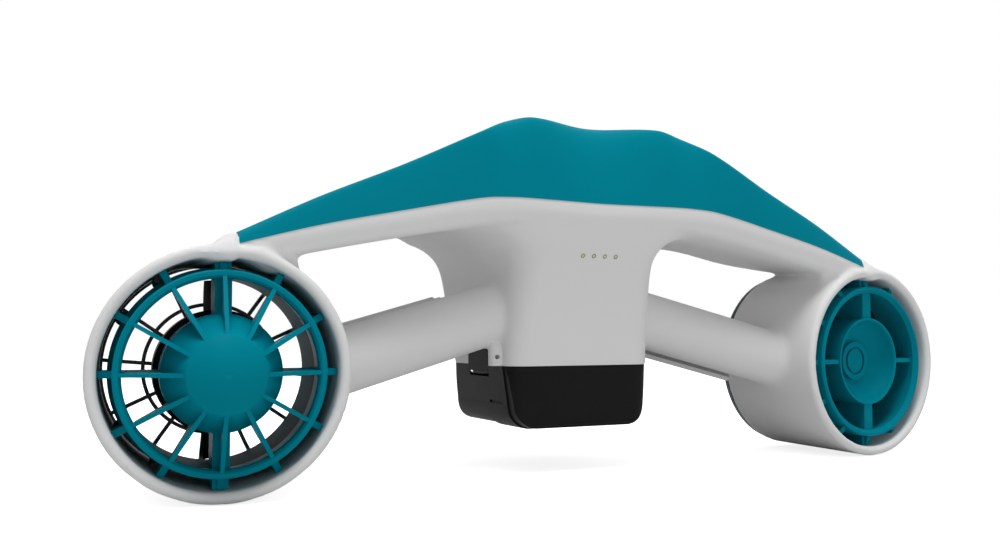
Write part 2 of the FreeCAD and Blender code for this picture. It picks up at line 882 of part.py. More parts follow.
def lug_angles():
    """Lugs lie in four groups of two, mirrored left to right and top to bottom."""
    return ["lug_near_angle", "lug_steep_angle", "180 - lug_steep_angle", "180 - lug_near_angle",
            "180 + lug_near_angle", "180 + lug_steep_angle", "-lug_steep_angle",
            "-lug_near_angle"]


def screw_set(label, side, radius, length, start):
    """Eight round pins on the screw circle, one behind each lug."""
    body = new_body(label)
    sketch = sketch_on(body, "XY_Plane", start)
    for angle in lug_angles():
        add_circle(sketch, "screw_circle * cos(%s)" % angle, "screw_circle * sin(%s)" % angle,
                   radius)
    pad(body, sketch, length)
    return place_thruster(body, side)


# Nozzle with its hub


def nozzle(side):
    body = new_body(side + "_nozzle")
    turned(body, [
        ("ring_radius - ring_chamfer", "0"), ("ring_radius", "ring_chamfer"),
        ("ring_radius", "nozzle_length - flange_thickness"),
        ("flange_radius", "nozzle_length - flange_thickness"), ("flange_radius", "nozzle_length"),
        ("ring_throat", "nozzle_length"), ("ring_mouth", "2.2"), ("ring_mouth + 1.8", "0")])
    hub_end = "hub_start + hub_length"
    pocket_start = "%s - bearing_width - seat_gap" % hub_end
    boss_top = "cup_floor - boss_height"
    turned(body, [
        ("0", boss_top), ("boss_groove - 1", boss_top), ("boss_groove - 1", boss_top + " + 1.2"),
        ("boss_groove + 0.6", boss_top + " + 1.2"), ("boss_groove + 0.6", boss_top),
        ("boss_radius", boss_top), ("boss_radius", "cup_floor"),
        ("cup_radius", "hub_start + 0.8", "-cup_curve"), ("cup_radius + 0.6", "hub_start"),
        ("hub_radius", "hub_start"), ("hub_radius", hub_end),
        ("bearing_radius + running_gap", hub_end), ("bearing_radius + running_gap", pocket_start),
        ("shaft_radius + 1", pocket_start), ("shaft_radius + 1", pocket_start + " - 2"),
        ("0", pocket_start + " - 2")])
    for angle, width in ((90, "strut_width"), (270, "strut_width"), (0, "vane_width"),
                         (180, "vane_width")):
        sketch = sketch_on(body, "XY_Plane", "strut_start", angle)
        add_outline(sketch, [
            ("hub_radius - 1", "-%s / 2" % width), ("ring_mouth + 1.6", "-%s / 2" % width),
            ("ring_mouth + 1.6", "%s / 2" % width), ("hub_radius - 1", "%s / 2" % width)])
        pad(body, sketch, "nozzle_length - strut_start")
    for angle in (90, 270):
        sketch = sketch_on(body, "XY_Plane", 6, angle)
        add_outline(sketch, [
            ("ring_radius - 1", "-pylon_width / 2"), ("duct_bore - seat_gap - 0.4",
                                                      "-pylon_width / 2"),
            ("duct_bore - seat_gap - 0.4", "pylon_width / 2"),
            ("ring_radius - 1", "pylon_width / 2")])
        pad(body, sketch, "nozzle_length - 6")
    sketch = add_outline(sketch_on(body, "XZ_Plane"), [
        ("ring_radius - 1", "3"), ("duct_bore - seat_gap", "6"),
        ("duct_bore - seat_gap", "nozzle_length - 4"), ("ring_radius - 1", "nozzle_length - 3")])
    tab = pad(body, sketch, "tab_width", both_ways=True)
    around(body, tab, "tab_count")
    return place_thruster(body, side)


def rear_guard(side):
    """Ring, ribs and domed cap in front of one outlet."""
    body = new_body("rear_guard")
    ring_top = "-guard_ring_height"
    turned(body, [
        ("ring_mouth + 0.4", "0"), ("ring_mouth + 0.4", ring_top + " + 1"),
        ("ring_mouth + 1.4", ring_top), ("ring_radius - 0.8", ring_top),
        ("ring_radius", ring_top + " + 0.8"), ("ring_radius", "0")])
    dome_curve = "(dome_radius ^ 2 + (dome_reach - dome_start) ^ 2) / (2 * (dome_reach - dome_start))"
    cone_end = "hub_radius - 0.2"
    turned(body, [
        ("0", "-dome_reach + guard_wall"),
        ("dome_radius - guard_wall", "-dome_start + guard_wall"),
        (cone_end + " - guard_wall", "hub_start"), (cone_end, "hub_start"),
        ("dome_radius", "-dome_start"), ("0", "-dome_reach", "-(%s)" % dome_curve)])
    sketch = add_outline(sketch_on(body, "XZ_Plane"), [
        ("ring_mouth + 1.3", ring_top + " + 0.2"), ("ring_mouth + 1.3", "-0.1"),
        ("ring_mouth - 0.5", "-0.1"), ("ring_mouth - 0.7", "rib_depth"),
        ("hub_radius - 1.5", "hub_start - 1"), ("dome_radius - 0.6", "-dome_start + 3"),
        ("dome_radius - 0.6", "-dome_start + 0.6")])
    rib = pad(body, sketch, "rib_width", both_ways=True)
    around(body, rib, "rib_count")
    return place_thruster(body, side)


def propeller_ring(side):
    """Dark tunnel round the propeller, with screw lugs near its rear end."""
    body = new_body(side + "_propeller_ring")
    turned(body, [
        ("tunnel_radius", "nozzle_length"), ("tunnel_outside", "nozzle_length"),
        ("tunnel_outside", "tunnel_end"), ("tunnel_radius", "tunnel_end")])
    for angle in lug_angles():
        sketch = sketch_on(body, "XY_Plane", "nozzle_length", angle)
        add_outline(sketch, [
            ("tunnel_outside - 1", "-lug_round"), ("lug_center", "-lug_round"),
            ("lug_center + lug_round", "0", "lug_round"), ("lug_center", "lug_round", "lug_round"),
            ("tunnel_outside - 1", "lug_round")])
        pad(body, sketch, "lug_thickness")
    holes = sketch_on(body, "XY_Plane", "nozzle_length")
    for angle in lug_angles():
        add_circle(holes, "screw_circle * cos(%s)" % angle, "screw_circle * sin(%s)" % angle,
                   "screw_radius + screw_gap")
    pocket(body, holes, "lug_thickness", reverse=True)
    return place_thruster(body, side)


def ring_screws(side):
    shanks = screw_set(side + "_shanks", side, "screw_radius", "screw_length + 1",
                       "nozzle_length - 1")
    heads = screw_set(side + "_heads", side, "screw_head_radius", "screw_head_height",
                      "nozzle_length - screw_head_height")
    return joined(side + "_ring_screws", [shanks, heads])


def intake_guard(side):
    """Basket over the intake: legs from the propeller ring bend into bars to a middle disc."""
    body = new_body(side + "_intake_guard")
    start = "duct_length"
    end = "duct_length + guard_thickness"
    turned(body, [
        ("rim_ring_radius - rim_ring_width", start), ("rim_ring_radius", start),
        ("rim_ring_radius", end), ("rim_ring_radius - rim_ring_width", end)])
    turned(body, [
        ("middle_ring_radius - middle_ring_width", start), ("middle_ring_radius", start),
        ("middle_ring_radius", end), ("middle_ring_radius - middle_ring_width", end)])
    turned(body, [
        ("0", "%s + guard_thickness - nose_disc_thickness" % start),
        ("nose_disc_radius", "%s + guard_thickness - nose_disc_thickness" % start),
        ("nose_disc_radius", end), ("0", end)])
    leg_in = "tunnel_outside - leg_thickness"
    sketch = add_outline(sketch_on(body, "XZ_Plane"), [
        (leg_in, "tunnel_end"), ("tunnel_outside", "tunnel_end"), ("tunnel_outside", start),
        ("rim_ring_radius - 1", start), ("rim_ring_radius - 1", end),
        ("nose_disc_radius - 1", end), ("nose_disc_radius - 1", start),
        (leg_in + " - bar_bend", start), (leg_in, start + " - bar_bend", "-bar_bend")])
    bar = pad(body, sketch, "bar_width", both_ways=True)
    around(body, bar, "bar_count")
    sign = SIDES[side]
    turn = "rotation(%d * toe_angle; 0; -90) * rotation(%d * bar_turn; 0; 0)" % (sign, sign)
    spot = "vector(%d * duct_center; %s; %s)" % (sign, RING_PLANE, AXIS_HEIGHT)
    body.setExpression("Placement", bound("placement(%s; %s)" % (spot, turn)))
    return body


# Motor and propeller

HUB_END = "(hub_start + hub_length)"
COVER_START = "(hub_start + hub_length + motor_length)"
COVER_END = "(hub_start + hub_length + motor_length + motor_cover)"
PROP_START = "(hub_start + hub_length + motor_length + motor_cover + prop_gap)"
BEARING_START = "(hub_start + hub_length + motor_length - bearing_width)"


def motor_case(side):
    """Dark can with its front cover, a bearing seat and a seal seat."""
    body = new_body(side + "_motor_case")
    wall_in = "motor_radius - motor_wall"
    seat = "bearing_radius + running_gap"
    turned(body, [
        (wall_in, HUB_END), ("motor_radius", HUB_END), ("motor_radius", COVER_END + " - 2.5"),
        ("motor_radius - 2.5", COVER_END, "2.5"), ("seal_radius + running_gap", COVER_END),
        ("seal_radius + running_gap", COVER_START + " + 0.1"),
        ("seal_radius - 1", COVER_START + " + 0.1"), ("seal_radius - 1", COVER_START),
        (seat, COVER_START), (seat, BEARING_START), ("bearing_radius + 2.4", BEARING_START),
        ("bearing_radius + 2.4", COVER_START), (wall_in, COVER_START)])
    return place_thruster(body, side)


def motor_stator(side):
    """Iron ring with inward teeth for the windings."""
    body = new_body(side + "_motor_stator")
    start = HUB_END + " + 0.5"
    turned(body, [
        ("stator_radius - stator_yoke", start), ("stator_radius", start),
        ("stator_radius", start + " + stator_length"),
        ("stator_radius - stator_yoke", start + " + stator_length")])
    sketch = add_outline(sketch_on(body, "XY_Plane", start), [
        ("stator_bore", "-tooth_width / 2"), ("stator_radius - stator_yoke + 1",
                                              "-tooth_width / 2"),
        ("stator_radius - stator_yoke + 1", "tooth_width / 2"), ("stator_bore", "tooth_width / 2")])
    tooth = pad(body, sketch, "stator_length")
    around(body, tooth, "stator_teeth")
    return place_thruster(body, side)


def plain_ring(label, side, inner, outer, start, length):
    """Turned ring on the thruster axis."""
    body = new_body(label)
    turned(body, [
        (inner, start), (outer, start), (outer, "(%s) + (%s)" % (start, length)),
        (inner, "(%s) + (%s)" % (start, length))])
    return place_thruster(body, side)


def bearings(side):
    inner = "shaft_radius + running_gap"
    rear = plain_ring(side + "_rear_bearing", side, inner, "bearing_radius",
                      HUB_END + " - bearing_width", "bearing_width")
    front = plain_ring(side + "_front_bearing", side, inner, "bearing_radius", BEARING_START,
                       "bearing_width")
    return grouped(side + "_bearings", [rear, front])


def shaft_seal(side):
    return plain_ring(side + "_shaft_seal", side, "shaft_radius + running_gap", "seal_radius",
                      COVER_START + " + 0.1", "seal_width")


def motor_rotor(side):
    return plain_ring(side + "_motor_rotor", side, "shaft_radius + running_gap / 2",
                      "rotor_radius", HUB_END + " + 1.5", "rotor_length")


def shaft(side):
    body = new_body(side + "_shaft")
    end = PROP_START + " + prop_hub_length + nut_height - 1"
    turned(body, [
        ("0", HUB_END + " - bearing_width - 1"), ("shaft_radius", HUB_END + " - bearing_width - 1"),
        ("shaft_radius", end + " - 0.8"), ("shaft_radius - 0.8", end), ("0", end)])
    return place_thruster(body, side)


def blade_section(body, radius, chord, thickness, pitch):
    """Lens-shaped section across the blade, at one radius, turned to its pitch."""
    sketch = body.newObject("Sketcher::SketchObject", "blade_section")
    sketch.AttachmentSupport = [(origin_part(body, "YZ_Plane"), "")]
    sketch.MapMode = "FlatFace"
    middle = PROP_START + " + prop_hub_length / 2"
    spot = "vector(0; %s; %s)" % (middle, radius)
    sketch.setExpression("AttachmentOffset",
                         bound("placement(%s; rotation(%s; 0; 0))" % (spot, pitch)))
    curve = "((%s) ^ 2 / 4 + (%s) ^ 2 / 4) / (%s)" % (chord, thickness, thickness)
    half = "(%s) / 2" % chord
    return add_outline(sketch, [("-" + half, "0", curve), (half, "0", curve)])


def propeller(side):
    """Turned hub with twisted blades. The two sides are wound opposite ways."""
    body = new_body(side + "_propeller")
    bore = "shaft_radius + running_gap / 2"
    end = PROP_START + " + prop_hub_length"
    turned(body, [
        (bore, PROP_START), ("prop_hub_radius - 0.8", PROP_START),
        ("prop_hub_radius", PROP_START + " + 0.8"), ("prop_hub_radius - 0.5", end + " - 5"),
        ("prop_hub_tail", end, "9"), (bore, end)])
    sign = SIDES[side]
    tip = "tunnel_radius - blade_tip_gap"
    sections = [
        blade_section(body, "prop_hub_radius - 4", "blade_root_chord", "blade_thickness",
                      "%d * blade_root_pitch" % sign),
        blade_section(body, "(prop_hub_radius + %s) / 2" % tip, "blade_middle_chord",
                      "(blade_thickness + blade_tip_thickness) / 2",
                      "%d * blade_middle_pitch" % sign),
        blade_section(body, tip, "blade_tip_chord", "blade_tip_thickness",
                      "%d * blade_tip_pitch" % sign)]
    loft = body.newObject("PartDesign::AdditiveLoft", "blade")
    loft.Profile = sections[0]
    loft.Sections = sections[1:]
    doc.recompute()
    around(body, loft, "blade_count")
    turn = "rotation(%d * toe_angle; 0; -90) * rotation(90; 0; 0)" % sign
    spot = "vector(%d * duct_center; %s; %s)" % (sign, RING_PLANE, AXIS_HEIGHT)
    body.setExpression("Placement", bound("placement(%s; %s)" % (spot, turn)))
    return body


def propeller_nut(side):
    """Six-sided nut that holds the propeller on its shaft."""
    body = new_body(side + "_propeller_nut")
    sketch = sketch_on(body, "XY_Plane", PROP_START + " + prop_hub_length")
    corners = [("nut_radius * cos(%d)" % angle, "nut_radius * sin(%d)" % angle)
               for angle in range(0, 360, 60)]
    add_outline(sketch, corners)
    add_circle(sketch, 0, 0, "shaft_radius + running_gap / 2")
    pad(body, sketch, "nut_height")
    return place_thruster(body, side)


# Grips and triggers

PIN_OUT = "(trigger_middle_out + trigger_curve * cos(trigger_top_angle))"
PIN_UP = "(-trigger_middle_drop + trigger_curve * sin(trigger_top_angle))"


def grip(side):
    """Hollow tube with two ears for the trigger pin."""
    body = new_body(side + "_grip")
    start = "-grip_inner_end" if SIDES[side] > 0 else "-grip_outer_end"
    sketch = add_circle(sketch_on(body, "YZ_Plane", start), 0, 0, "grip_radius")
    add_circle(sketch, 0, 0, "grip_radius - grip_wall")
    pad(body, sketch, "grip_inner_end + grip_outer_end")
    for end in (-1, 1):
        middle = "%d * (trigger_half_length + trigger_ear_gap + trigger_ear_width / 2)" % end
        sketch = sketch_on(body, "YZ_Plane", middle)
        round_end = "trigger_barrel_radius"
        add_outline(sketch, [
            ("grip_radius - 5", PIN_UP + " - 4"), (PIN_OUT, "%s - %s" % (PIN_UP, round_end)),
            ("%s + %s" % (PIN_OUT, round_end), PIN_UP, round_end),
            (PIN_OUT, "%s + %s" % (PIN_UP, round_end), round_end),
            ("grip_radius - 9", PIN_UP + " + 1")])
        pad(body, sketch, "trigger_ear_width", both_ways=True)
    hole = add_circle(sketch_on(body, "YZ_Plane"), PIN_OUT, PIN_UP,
                      "trigger_pin_radius + running_gap / 2")
    pocket(body, hole, "2 * grip_inner_end", both_ways=True)
    return place_grip(body, side)


def trigger_arc(angle, radius):
    """Point of the paddle's curve, at an angle above the middle of its arc."""
    return ("trigger_middle_out + (%s) * cos(%s)" % (radius, angle),
            "-trigger_middle_drop + (%s) * sin(%s)" % (radius, angle))


def trigger(side):
    """Curved finger paddle on the front and lower side of the grip, with its pin barrel."""
    body = new_body(side + "_trigger")
    outer = "trigger_curve + trigger_thickness / 2"
    inner = "trigger_curve - trigger_thickness / 2"
    top = "trigger_top_angle - 3"
    bottom = "-trigger_bottom_angle"
    paddle = add_outline(sketch_on(body, "YZ_Plane"), [
        trigger_arc(top, inner), trigger_arc(bottom, inner) + ("-(%s)" % inner,),
        trigger_arc(bottom, outer), trigger_arc(top, outer) + (outer,)])
    pad(body, paddle, "2 * trigger_half_length", both_ways=True)
    barrel = add_circle(sketch_on(body, "YZ_Plane", "-trigger_spring_length / 2"), PIN_OUT, PIN_UP,
                        "trigger_barrel_radius")
    pad(body, barrel, "2 * trigger_half_length - trigger_spring_length", both_ways=True)
    hole = add_circle(sketch_on(body, "YZ_Plane"), PIN_OUT, PIN_UP,
                      "trigger_pin_radius + running_gap")
    pocket(body, hole, "3 * trigger_half_length", both_ways=True)
    clear = add_circle(sketch_on(body, "YZ_Plane",
                                 "trigger_half_length - trigger_spring_length"),
                       PIN_OUT, PIN_UP, "trigger_barrel_radius + 0.3")
    pocket(body, clear, "trigger_spring_length + 1", reverse=True)
    return place_grip(body, side)


def trigger_pin(side):
    body = new_body(side + "_trigger_pin")
    reach = "2 * (trigger_half_length + trigger_ear_gap + trigger_ear_width)"
    pin = add_circle(sketch_on(body, "YZ_Plane"), PIN_OUT, PIN_UP, "trigger_pin_radius")
    pad(body, pin, reach, both_ways=True)
    return place_grip(body, side)


def trigger_spring(side):
    """Coil of the return spring, round the pin beside the barrel."""
    body = new_body(side + "_trigger_spring")
    start = "trigger_half_length - trigger_spring_length + trigger_ear_gap"
    coil = sketch_on(body, "YZ_Plane", start)
    add_circle(coil, PIN_OUT, PIN_UP, "trigger_pin_radius + 0.8")
    add_circle(coil, PIN_OUT, PIN_UP, "trigger_pin_radius + seat_gap")
    pad(body, coil, "trigger_spring_length")
    return place_grip(body, side)


# Battery pack and its latches


def pack_outline(grow, top):
    """Cross outline of the pack: tapered sides and large bottom rounds."""
    half = "(tower_width - seam_gap + (%s))" % grow
    low = "(tower_width - pack_taper + (%s))" % grow
    floor = "-(pack_depth + (%s))" % grow
    turn = "pack_round + (%s)" % grow
    return [("-" + half, top), ("-" + low, "%s + %s" % (floor, turn)),
            ("-(%s - (%s))" % (low, turn), floor, turn), ("%s - (%s)" % (low, turn), floor),
            (low, "%s + %s" % (floor, turn), turn), (half, top)]


def battery_case():
    """Black lower part, raised strip with a slot on each side, and the plug that fills the bay."""
    along = new_body("pack_cross_form")
    length = "tower_far - tower_near"
    cross = add_outline(sketch_on(along, "XZ_Plane", "-tower_near"), pack_outline(0, "-seam_gap"))
    pad(along, cross, length, reverse=True)
    place(along)
    upright = new_body("pack_plan_form")
    sketches = []
    for level, inset in (("-seam_gap", "0"), ("-pack_depth - 1", "pack_end_taper")):
        sketch = sketch_on(upright, "XY_Plane", level)
        add_rounded_box(sketch, "-tower_width", "tower_near + seam_gap + %s" % inset,
                        "tower_width", "tower_far - seam_gap - %s" % inset, "tower_corner")
        sketches.append(sketch)
    place(loft_through(upright, sketches))
    lower = doc.addObject("Part::Common", "pack_lower")
    lower.Base = along
    lower.Tool = upright
    strip = new_body("pack_strip")
    band = add_outline(sketch_on(strip, "XZ_Plane", "-strip_near"),
                       pack_outline("strip_raise", "-seam_gap"))
    pad(strip, band, "strip_far - strip_near", reverse=True)
    place(strip)
    plug = new_body("pack_plug")
    sketch = sketch_on(plug, "XY_Plane", "-pack_wall")
    add_rounded_box(sketch, "-bay_width + plug_gap", "bay_near + plug_gap",
                    "bay_width - plug_gap", "bay_far - plug_gap", "bay_corner - plug_gap")
    pad(plug, sketch, "plug_height + pack_wall - lid_thickness")
    place(plug)
    solid = joined("pack_solid", [lower, strip, plug])
    return trimmed("battery_case", solid, joined("pack_cuts", pack_cuts()))


def pack_cuts():
    room = block("cell_room", "3 * cell_pitch + 1", "cell_length + 1", "3 * cell_pitch + 20")
    place(room, "-1.5 * cell_pitch - 0.5", CELL_START + " - 0.5", CELL_FLOOR)
    groove_outer = new_body("seal_groove_outer")
    sketch = sketch_on(groove_outer, "XY_Plane", "seal_height - seat_gap / 2")
    add_rounded_box(sketch, "-bay_width", "bay_near", "bay_width", "bay_far", "bay_corner")
    inner = "plug_gap + groove_depth"
    add_rounded_box(sketch, "-bay_width + " + inner, "bay_near + " + inner,
                    "bay_width - (%s)" % inner, "bay_far - (%s)" % inner,
                    "bay_corner - (%s)" % inner)
    pad(groove_outer, sketch, "pack_seal_width + seat_gap")
    place(groove_outer)
    cuts = [room, groove_outer]
    for sign in SIDES.values():
        slot = block("strip_slot", "6", "slot_length", "slot_width")
        across = "tower_width - 3" if sign > 0 else "-tower_width - 3"
        place(slot, across, "(strip_near + strip_far - slot_length) / 2", "-slot_drop")
        recess = block("latch_recess", "latch_notch + 8", "latch_far - latch_near + 2 * latch_gap",
                       "latch_pin_drop + latch_barrel_radius + 0.6 + 1")
        inner_face = "tower_width - latch_notch - 2"
        across = inner_face if sign > 0 else "-(%s) - latch_notch - 8" % inner_face
        place(recess, across, "latch_near - latch_gap",
              "-(latch_pin_drop + latch_barrel_radius + 0.6)")
        hole = cylinder("latch_pin_hole", "latch_pin_radius + running_gap / 2",
                        LATCH_PIN_LENGTH + " + 0.4")
        place(hole, "%d * %s" % (sign, LATCH_PIN_ACROSS), LATCH_PIN_END + " + 0.2",
              "-latch_pin_drop", 0, 0, 90)
        cuts += [slot, recess, hole]
    return cuts


CELL_START = "((bay_near + bay_far - cell_length) / 2)"
CELL_FLOOR = "(-pack_depth + pack_wall + 1.2)"
LATCH_PIN_ACROSS = "(tower_width - latch_barrel_radius - 0.6)"
LATCH_PIN_LENGTH = "(latch_far - latch_near + 6)"
LATCH_PIN_END = "(latch_far + 3)"


def battery_lid():
    """Top plate of the plug."""
    body = new_body("battery_lid")
    sketch = sketch_on(body, "XY_Plane", "plug_height - lid_thickness")
    add_rounded_box(sketch, "-bay_width + plug_gap", "bay_near + plug_gap",
                    "bay_width - plug_gap", "bay_far - plug_gap", "bay_corner - plug_gap")
    pad(body, sketch, "lid_thickness")
    return place(body)


def battery_cells():
    """Round cells in three rows of three."""
    cells = []
    for column in (-1, 0, 1):
        for row in (0, 1, 2):
            cell = cylinder("cell", "cell_radius", "cell_length")
            place(cell, "%d * cell_pitch" % column, CELL_START + " + cell_length",
                  CELL_FLOOR + " + cell_radius + 0.1 + %d * cell_pitch" % row, 0, 0, 90)
            cells.append(cell)
    return grouped("battery_cells", cells)


def battery_seal():
    """Rubber ring round the plug, in its groove."""
    body = new_body("battery_seal")
    sketch = sketch_on(body, "XY_Plane", "seal_height")
    outer = "seat_gap"
    inner = "(plug_gap + groove_depth - 0.1)"
    add_rounded_box(sketch, "-bay_width + " + outer, "bay_near + " + outer,
                    "bay_width - " + outer, "bay_far - " + outer, "bay_corner - " + outer)
    add_rounded_box(sketch, "-bay_width + " + inner, "bay_near + " + inner,
                    "bay_width - " + inner, "bay_far - " + inner, "bay_corner - " + inner)
    pad(body, sketch, "pack_seal_width")
    return place(body)


def contact_pads(label, level, height):
    pads = []
    for column in (-1, 0, 1):
        strip = block("contact", "contact_width", "contact_length", height)
        place(strip, "%d * contact_pitch - contact_width / 2" % column,
              "(bay_near + bay_far - contact_length) / 2", level)
        pads.append(strip)
    return grouped(label, pads)


def contact_block():
    """Block in the roof of the bay that meets the pack's contacts."""
    level = "plug_height + contact_height + seat_gap"
    item = block("contact_block", "3 * contact_pitch", "contact_length + 8",
                 "bay_height - (%s)" % level)
    return place(item, "-1.5 * contact_pitch", "(bay_near + bay_far - contact_length) / 2 - 4",
                 level)


def latch(side):
    """Lever on a pin in the pack, lying in the tower's notch, with a tooth on its inner face.
    It is drawn for the right side; the left one is turned half round."""
    sign = SIDES[side]
    body = new_body(side + "_latch")
    pin = LATCH_PIN_ACROSS
    face = "(tower_width - latch_notch + latch_stand)"
    outer = "(%s + latch_thickness)" % face
    tooth = "(%s - tooth_depth)" % face
    shift = "-(latch_near + latch_far) / 2"
    lever = add_outline(sketch_on(body, "XZ_Plane", shift), [
        (face, "-latch_pin_drop"), (outer, "-latch_pin_drop"), (outer, "latch_height - 1"),
        (outer + " - 1", "latch_height"), (face, "latch_height"),
        (face, "tooth_at + tooth_height"), (tooth, "tooth_at + tooth_height"),
        (tooth, "tooth_at"), (face, "tooth_at - 0.8")])
    pad(body, lever, "latch_far - latch_near - 10", both_ways=True)
    wide = add_outline(sketch_on(body, "XZ_Plane", shift), [
        (face, "-latch_pin_drop"), (outer, "-latch_pin_drop"), (outer, "latch_height - 1"),
        (outer + " - 1", "latch_height"), (face, "latch_height")])
    pad(body, wide, "latch_far - latch_near", both_ways=True)
    barrel = add_circle(sketch_on(body, "XZ_Plane", shift + " - latch_spring_length / 2"), pin,
                        "-latch_pin_drop", "latch_barrel_radius")
    pad(body, barrel, "latch_far - latch_near - latch_spring_length", both_ways=True)
    hole = add_circle(sketch_on(body, "XZ_Plane", shift), pin, "-latch_pin_drop",
                      "latch_pin_radius + running_gap")
    pocket(body, hole, "2 * (latch_far - latch_near)", both_ways=True)
    spring_room = add_circle(
        sketch_on(body, "XZ_Plane", "-(latch_near + latch_spring_length)"), pin,
        "-latch_pin_drop", "latch_barrel_radius")
    pocket(body, spring_room, "latch_spring_length + 1", reverse=True)
    if sign > 0:
        return place(body)
    return place(body, 0, "latch_near + latch_far", 0, 180)


def latch_spring(side):
    """Coil of the return spring, round the pin beside the barrel."""
    body = new_body(side + "_latch_spring")
    sign = SIDES[side]
    start = "latch_near + 0.4" if sign > 0 else "latch_far - latch_spring_length + 0.4"
    coil = sketch_on(body, "XZ_Plane", "-(%s)" % start)
    spot = "%d * %s" % (sign, LATCH_PIN_ACROSS)
    add_circle(coil, spot, "-latch_pin_drop", "latch_pin_radius + 0.8")
    add_circle(coil, spot, "-latch_pin_drop", "latch_pin_radius + seat_gap")
    pad(body, coil, "latch_spring_length - 0.8", reverse=True)
    return place(body)


def latch_pin(side):
    pin = cylinder(side + "_latch_pin", "latch_pin_radius", LATCH_PIN_LENGTH)
    return place(pin, "%d * %s" % (SIDES[side], LATCH_PIN_ACROSS), LATCH_PIN_END,
                 "-latch_pin_drop", 0, 0, 90)


# Build, check and write


def build():
    wing = lofted("wing_under_seam", hull_section, list(WING), 0)
    nodes = [top_shell(), hull_shell(wing), tower(), control_board(), camera_insert(),
             gauge_lenses(), gauge_board(), battery_case(), battery_lid(), battery_cells(),
             battery_seal(), contact_pads("battery_contacts", "plug_height", "contact_height"),
             contact_block(), rear_guard("left")]
    makers = (nozzle, propeller_ring, ring_screws, intake_guard, motor_case, motor_stator,
              bearings, shaft_seal, motor_rotor, shaft, propeller, propeller_nut, grip, trigger,
              trigger_pin, trigger_spring, latch, latch_pin, latch_spring)
    for side in SIDES:
        nodes.append(duct(side, wing))
        nodes += [make(side) for make in makers]
    doc.recompute()
    return nodes


def check(nodes):
    """Stop if an object failed or a sub-part has no sound solid."""
    for item in doc.Objects:
        if "Invalid" in item.State or "Error" in item.State:
            raise ValueError("%s (%s) failed: %s" % (item.Label, item.Name, item.State))
    for node in nodes:
        if node.Shape.isNull() or not node.Shape.isValid() or not node.Shape.Solids:
            raise ValueError("%s has no valid solid" % node.Label)


def write(nodes):
    for node in nodes:
        node.Shape.exportStep("parts/%s.step" % node.Label)
        box = node.Shape.BoundBox
        print("%-24s solids %2d volume %10.1f  x %7.1f %7.1f  y %7.1f %7.1f  z %7.1f %7.1f" % (
            node.Label, len(node.Shape.Solids), node.Shape.Volume, box.XMin, box.XMax, box.YMin,
            box.YMax, box.ZMin, box.ZMax))


all_nodes = build()
check(all_nodes)
write(all_nodes)
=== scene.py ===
# %% [markdown]
# # A two-thruster underwater scooter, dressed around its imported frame
#
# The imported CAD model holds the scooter's solids, its joints and its real size. This script loads
# it as a fixed frame and gives every visible surface the form and finish of the real thing: a pale
# moulded body whose arms, tower and ducts flow into each other, a teal cover, teal and black
# thruster parts and a black battery. Each part of the lesson first says what a piece is and how it
# could be made, and then makes it.

# %% Load the frame
import json
import math

import bmesh
import bpy
import numpy as np
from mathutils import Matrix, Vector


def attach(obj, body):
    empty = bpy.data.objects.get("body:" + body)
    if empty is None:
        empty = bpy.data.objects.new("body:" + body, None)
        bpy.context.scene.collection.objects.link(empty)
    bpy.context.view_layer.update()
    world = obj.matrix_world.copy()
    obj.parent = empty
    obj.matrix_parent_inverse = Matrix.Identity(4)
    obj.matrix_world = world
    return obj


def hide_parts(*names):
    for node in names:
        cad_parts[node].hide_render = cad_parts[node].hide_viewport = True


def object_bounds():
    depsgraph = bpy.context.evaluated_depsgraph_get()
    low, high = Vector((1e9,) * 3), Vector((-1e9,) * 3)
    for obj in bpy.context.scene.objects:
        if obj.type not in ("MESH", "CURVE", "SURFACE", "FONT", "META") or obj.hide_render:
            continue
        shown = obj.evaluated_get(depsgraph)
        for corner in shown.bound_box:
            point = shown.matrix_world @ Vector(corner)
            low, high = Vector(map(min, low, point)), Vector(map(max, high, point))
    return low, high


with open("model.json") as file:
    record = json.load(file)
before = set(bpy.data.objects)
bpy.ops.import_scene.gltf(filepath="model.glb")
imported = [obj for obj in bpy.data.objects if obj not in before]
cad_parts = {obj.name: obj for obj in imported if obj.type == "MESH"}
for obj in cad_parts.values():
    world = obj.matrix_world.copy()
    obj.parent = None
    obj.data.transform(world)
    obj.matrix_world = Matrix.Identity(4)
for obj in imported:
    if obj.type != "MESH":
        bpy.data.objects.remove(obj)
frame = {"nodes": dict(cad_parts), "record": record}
cad_box = [list(corner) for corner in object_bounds()]
print("nodes", len(frame["nodes"]), "box", cad_box)

# %% [markdown]
# ## One drawing frame
#
# The scooter is easiest to draw from the plane of its two nozzle rings and the height of its
# thruster axes, in millimetres. Blender wants metres from the frame's own origin, so one function
# makes the step at the very end. Both thrusters point a few degrees inwards, and both grips are
# swept and dip towards the ducts.

# %% Drawing frame
MILLIMETRE = 0.001
RING_PLANE = -67.812
AXIS_HEIGHT = 56.2
DUCT_CENTER = 192.3
TOE = math.radians(5.8)
GRIP_SWEEP = math.radians(-8.8)
GRIP_DIP = math.radians(14.9)
GRIP_MIDDLE = (92.5, 34.6, 13.9)


def in_frame(points):
    """Drawing millimetres to the frame's metres: shift by ring plane and axis height, scale."""
    return (np.asarray(points) + (0, RING_PLANE, AXIS_HEIGHT)) * MILLIMETRE


def grip_axes():
    """The right grip's own right, forward and up directions."""
    along = np.array((math.cos(GRIP_DIP) * math.cos(GRIP_SWEEP),
                      math.cos(GRIP_DIP) * math.sin(GRIP_SWEEP), -math.sin(GRIP_DIP)))
    forward = np.array((-math.sin(GRIP_SWEEP), math.cos(GRIP_SWEEP), 0))
    return along, forward, np.cross(along, forward)


print("drawing frame set, thrusters at x = +-%.1f mm" % DUCT_CENTER)

